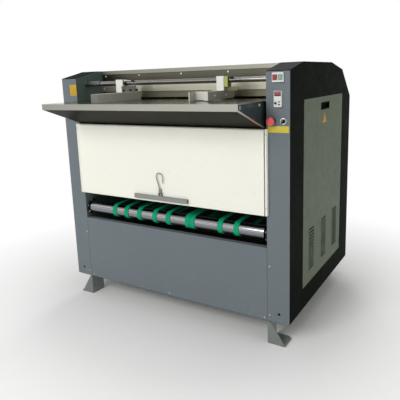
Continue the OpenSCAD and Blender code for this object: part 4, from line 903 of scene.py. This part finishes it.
def makeLevers(look):
    rodLow, _, rodMid = box("guide_rod")
    collarX = box("left_carriage")[1][0]
    clampX = box("right_clamp")[0][0] + look["clampWidth"]
    lift = np.array([0.0, *look["lift"]])

    # a profile set at a place along the rod, raised from the rod's axis by a share of the lift
    def onRod(part, x, share=1.0, out=right):
        return seat(stacked(look[part]), np.array([x, *rodMid[1:]]) + share * lift, out)

    sleeve = onRod("sleeveRing", rodLow[0], 0.0)
    addPiece("sleeveRing", [sleeve], "chromeRod", "frame", ring=True)
    collar = onRod("collar", collarX, 0.0)
    addPiece("leftCollar", [collar], "knobBlack", "left_fence", ring=True)
    boss = onRod("boss", collarX + look["bossIn"], look["bossShare"], lift)
    arm = onRod("arm", collarX + look["armIn"])
    addPiece("leftLeverArm", [boss, arm], "screwZinc", "left_fence")
    grip = onRod("grip", collarX + look["gripIn"])
    addPiece("leftLeverGrip", [grip], "knobBlack", "left_fence")
    addPiece("rightLeverArm", [onRod("shortArm", clampX)], "screwDark", "right_fence")
    grip = onRod("grip", clampX + look["rightGripIn"])
    addPiece("rightLeverGrip", [grip], "knobBlack", "right_fence")


makeHem(hemLook)
makeTrayBrackets(bracketLook)
makeLevers(leverLook)
print("levers and trim set")

# display window with four slanted zero digits, each of six bars, and two membrane keys on the keypad;
# bar is a bar's corner, thickness, rim and steps, and slant moves its points sideways with their height
keypadLook = {"rim": 2.3, "windowHeight": 22.4, "windowCorner": 0.8, "recess": 1.5, "window": 1.2,
              "digit": (4.4, 11), "stroke": 1.1, "bar": (0.3, 0.15, 0.05, 3), "pitch": 7.9,
              "places": (-1.5, -0.5, 0.5, 1.5), "slant": 0.14, "key": (10, 7), "keyCorner": 1.5,
              "keyThick": 0.9, "keyAcross": 8, "keyUp": (12, 25)}


def makeKeypad(look):
    low, high, mid = box("keypad")
    windowWide, windowHigh = high[0] - low[0] - 2 * look["rim"], look["windowHeight"]
    windowZ = high[2] - look["rim"] - windowHigh / 2
    windowY = low[1] + look["recess"]
    addPlate("displayWindow", rectangle(windowWide, windowHigh), (mid[0], windowY, windowZ), front,
             "frame", "windowRed", look["windowCorner"], look["window"])
    width, height = look["digit"]
    stroke = look["stroke"]
    upright = height / 2 - stroke
    bars = [(x, z, stroke, upright) for x in (-width / 2, width / 2) for z in (-height / 4, height / 4)]
    bars += [(0.0, z, width - stroke, stroke) for z in (-height / 2, height / 2)]
    grids = []
    for place in look["places"]:
        for x, z, wide, tall in bars:
            grid = plate(rectangle(wide, tall), *look["bar"])
            grid[..., :2] += np.array([place * look["pitch"] + x, z]) * mm
            grid[..., 0] += look["slant"] * grid[..., 1]
            grids.append(seat(grid, (mid[0], windowY - look["window"], windowZ), front))
    addPiece("displayDigits", grids, "digitPink", "frame")
    for name, finish, up in zip(("redKey", "greyKey"), ("keyRed", "keyGrey"), look["keyUp"]):
        at = (mid[0] + look["keyAcross"], low[1], low[2] + up)
        addPlate(name, rectangle(*look["key"]), at, front, "frame", finish, look["keyCorner"],
                 look["keyThick"])


# marks on what the hand turns or presses: lines on the dial, selector and start key, each with its size
# and how far above the middle it stands, and a ring on the stop key
lineMarks = {
    "dialMark": ("speed_knob", "speed_dial", "markWhite", (1.2, 3.6), 2.8),
    "selectorMark": ("selector_knob", "selector", "markWhite", (1.8, 9), 4.5),
    "startMark": ("start_button", "start_key", "markPale", (1.8, 11), 0),
}
markLook = {"corner": 0.4, "thick": 0.25, "ring": [(4.2, 0), (5.8, 0), (5.8, 0.3), (4.2, 0.3)]}


def makeMarks(look):
    for name, (nodeName, body, finish, size, up) in lineMarks.items():
        low, _, mid = box(nodeName)
        at = (mid[0], low[1], mid[2] + up)
        addPlate(name, rectangle(*size), at, front, body, finish, look["corner"], look["thick"])
    low, _, mid = box("stop_button")
    ring = seat(stacked(look["ring"]), (mid[0], low[1], mid[2]), front)
    addPiece("stopMark", [ring], "markRose", "stop_key", ring=True)


makeKeypad(keypadLook)
makeMarks(markLook)
print("panel marks set")


# studio: pale floor that fades into white, soft lamps, even surround
stageLook = {"floor": (250, 250, 249), "reach": 14, "points": 3, "fade": (0.95, 2.1), "ambient": 0.38}


def makeFloor(look):
    count = look["points"]
    edge = np.linspace(-look["reach"], look["reach"], count)
    x, y = np.meshgrid(edge, edge, indexing="ij")
    points = np.stack([x, y, np.zeros_like(x)], -1).reshape(-1, 3)
    mesh = bpy.data.meshes.new("studioFloor")
    mesh.from_pydata(points.tolist(), [], gridFaces(count, count, False, False)[:, ::-1].tolist())
    floor = addObject("studioFloor", mesh)
    material = bpy.data.materials.new("floorPaper")
    tree = emptyTree(material)
    far = addNode(tree, "VectorMath", {0: objectPlace(tree)}, operation="LENGTH")
    fade = addSpan(tree, far.outputs["Value"], *look["fade"])
    path = addNode(tree, "LightPath").outputs
    seen = addMath(tree, "MAXIMUM", path["Is Camera Ray"], path["Is Glossy Ray"])
    paper = addNode(tree, "BsdfDiffuse", {"Color": tint(*look["floor"])}).outputs[0]
    white = addNode(tree, "Emission", {"Color": pureWhite, "Strength": 1.0}).outputs[0]
    share = addMath(tree, "MULTIPLY", fade, seen)
    mixed = addNode(tree, "MixShader", {0: share, 1: paper, 2: white}).outputs[0]
    addNode(tree, "OutputMaterial", {0: mixed})
    mesh.materials.append(material)


# the camera and mirror-like faces see white, and all else is lit by a dimmer surround
def makeWorld(look):
    world = bpy.data.worlds.new("studioWorld")
    bpy.context.scene.world = world
    tree = emptyTree(world)
    path = addNode(tree, "LightPath").outputs
    mirrored = addMath(tree, "MAXIMUM", path["Is Glossy Ray"], path["Is Transmission Ray"])
    seen = addMath(tree, "MAXIMUM", path["Is Camera Ray"], mirrored)
    dim = {"Color": pureWhite, "Strength": look["ambient"]}
    soft = addNode(tree, "Background", dim).outputs[0]
    white = addNode(tree, "Background", {"Color": pureWhite, "Strength": 1.0}).outputs[0]
    mixed = addNode(tree, "MixShader", {0: seen, 1: soft, 2: white}).outputs[0]
    addNode(tree, "OutputWorld", {0: mixed})


lampLook = {
    "keyLamp": {"at": (-0.5, -4.7, 3.3), "aim": (0.1, -0.3, 0.75), "size": (2.6, 2.6), "power": 131},
    "stripLamp": {"at": (-3.6, -4.6, 3), "aim": (-0.2, -0.4, 0.6), "size": (4.4, 0.55), "power": 14},
    "lowLamp": {"at": (-2.2, -4.6, 0.9), "aim": (-0.1, -0.2, 0.6), "size": (4, 0.8), "power": 8},
    "fillLamp": {"at": (3.4, -0.6, 0.25), "aim": (0.75, 0.1, 0.2), "size": (1.6, 0.4), "power": 23},
    "topLamp": {"at": (0.2, 0.2, 4.6), "aim": (0, 0, 1), "size": (3, 3), "power": 28},
    "backLamp": {"at": (-1, 4.6, 2.6), "aim": (0, 0.2, 0.8), "size": (2.8, 2.8), "power": 85},
}


def makeLamps():
    for name, look in lampLook.items():
        data = bpy.data.lights.new(name, "AREA")
        data.shape, data.energy = "ELLIPSE", look["power"]
        data.size, data.size_y = look["size"]
        lamp = addObject(name, data)
        lamp.location = look["at"]
        aim = Vector(look["aim"]) - Vector(look["at"])
        lamp.rotation_euler = aim.to_track_quat("-Z", "Y").to_euler()


cameraLook = {"at": (1.5493, -2.5025, 1.3957), "yaw": 31.887, "pitch": 11.174, "roll": -1.999,
              "lens": 42.242, "sensor": 36, "shift": -0.075}


# the view direction comes from yaw and pitch, and the roll turns the picture about it
def makeCamera(look):
    data = bpy.data.cameras.new("photoCamera")
    data.sensor_width, data.lens = look["sensor"], look["lens"]
    data.shift_y = look["shift"]
    yaw, pitch, roll = (math.radians(look[key]) for key in ("yaw", "pitch", "roll"))
    level = math.cos(pitch)
    ahead = Vector((-math.sin(yaw) * level, math.cos(yaw) * level, -math.sin(pitch)))
    side = Vector((math.cos(yaw), math.sin(yaw), 0.0))
    up = side.cross(ahead)
    across = math.cos(roll) * side + math.sin(roll) * up
    top = -math.sin(roll) * side + math.cos(roll) * up
    turn = Matrix((across, top, -ahead)).transposed()
    camera = addObject("photoCamera", data)
    camera.matrix_world = Matrix.Translation(look["at"]) @ turn.to_4x4()
    bpy.context.scene.camera = camera


makeFloor(stageLook)
makeWorld(stageLook)
makeLamps()
makeCamera(cameraLook)
bpy.context.scene.view_settings.view_transform = "Standard"
print("studio set")
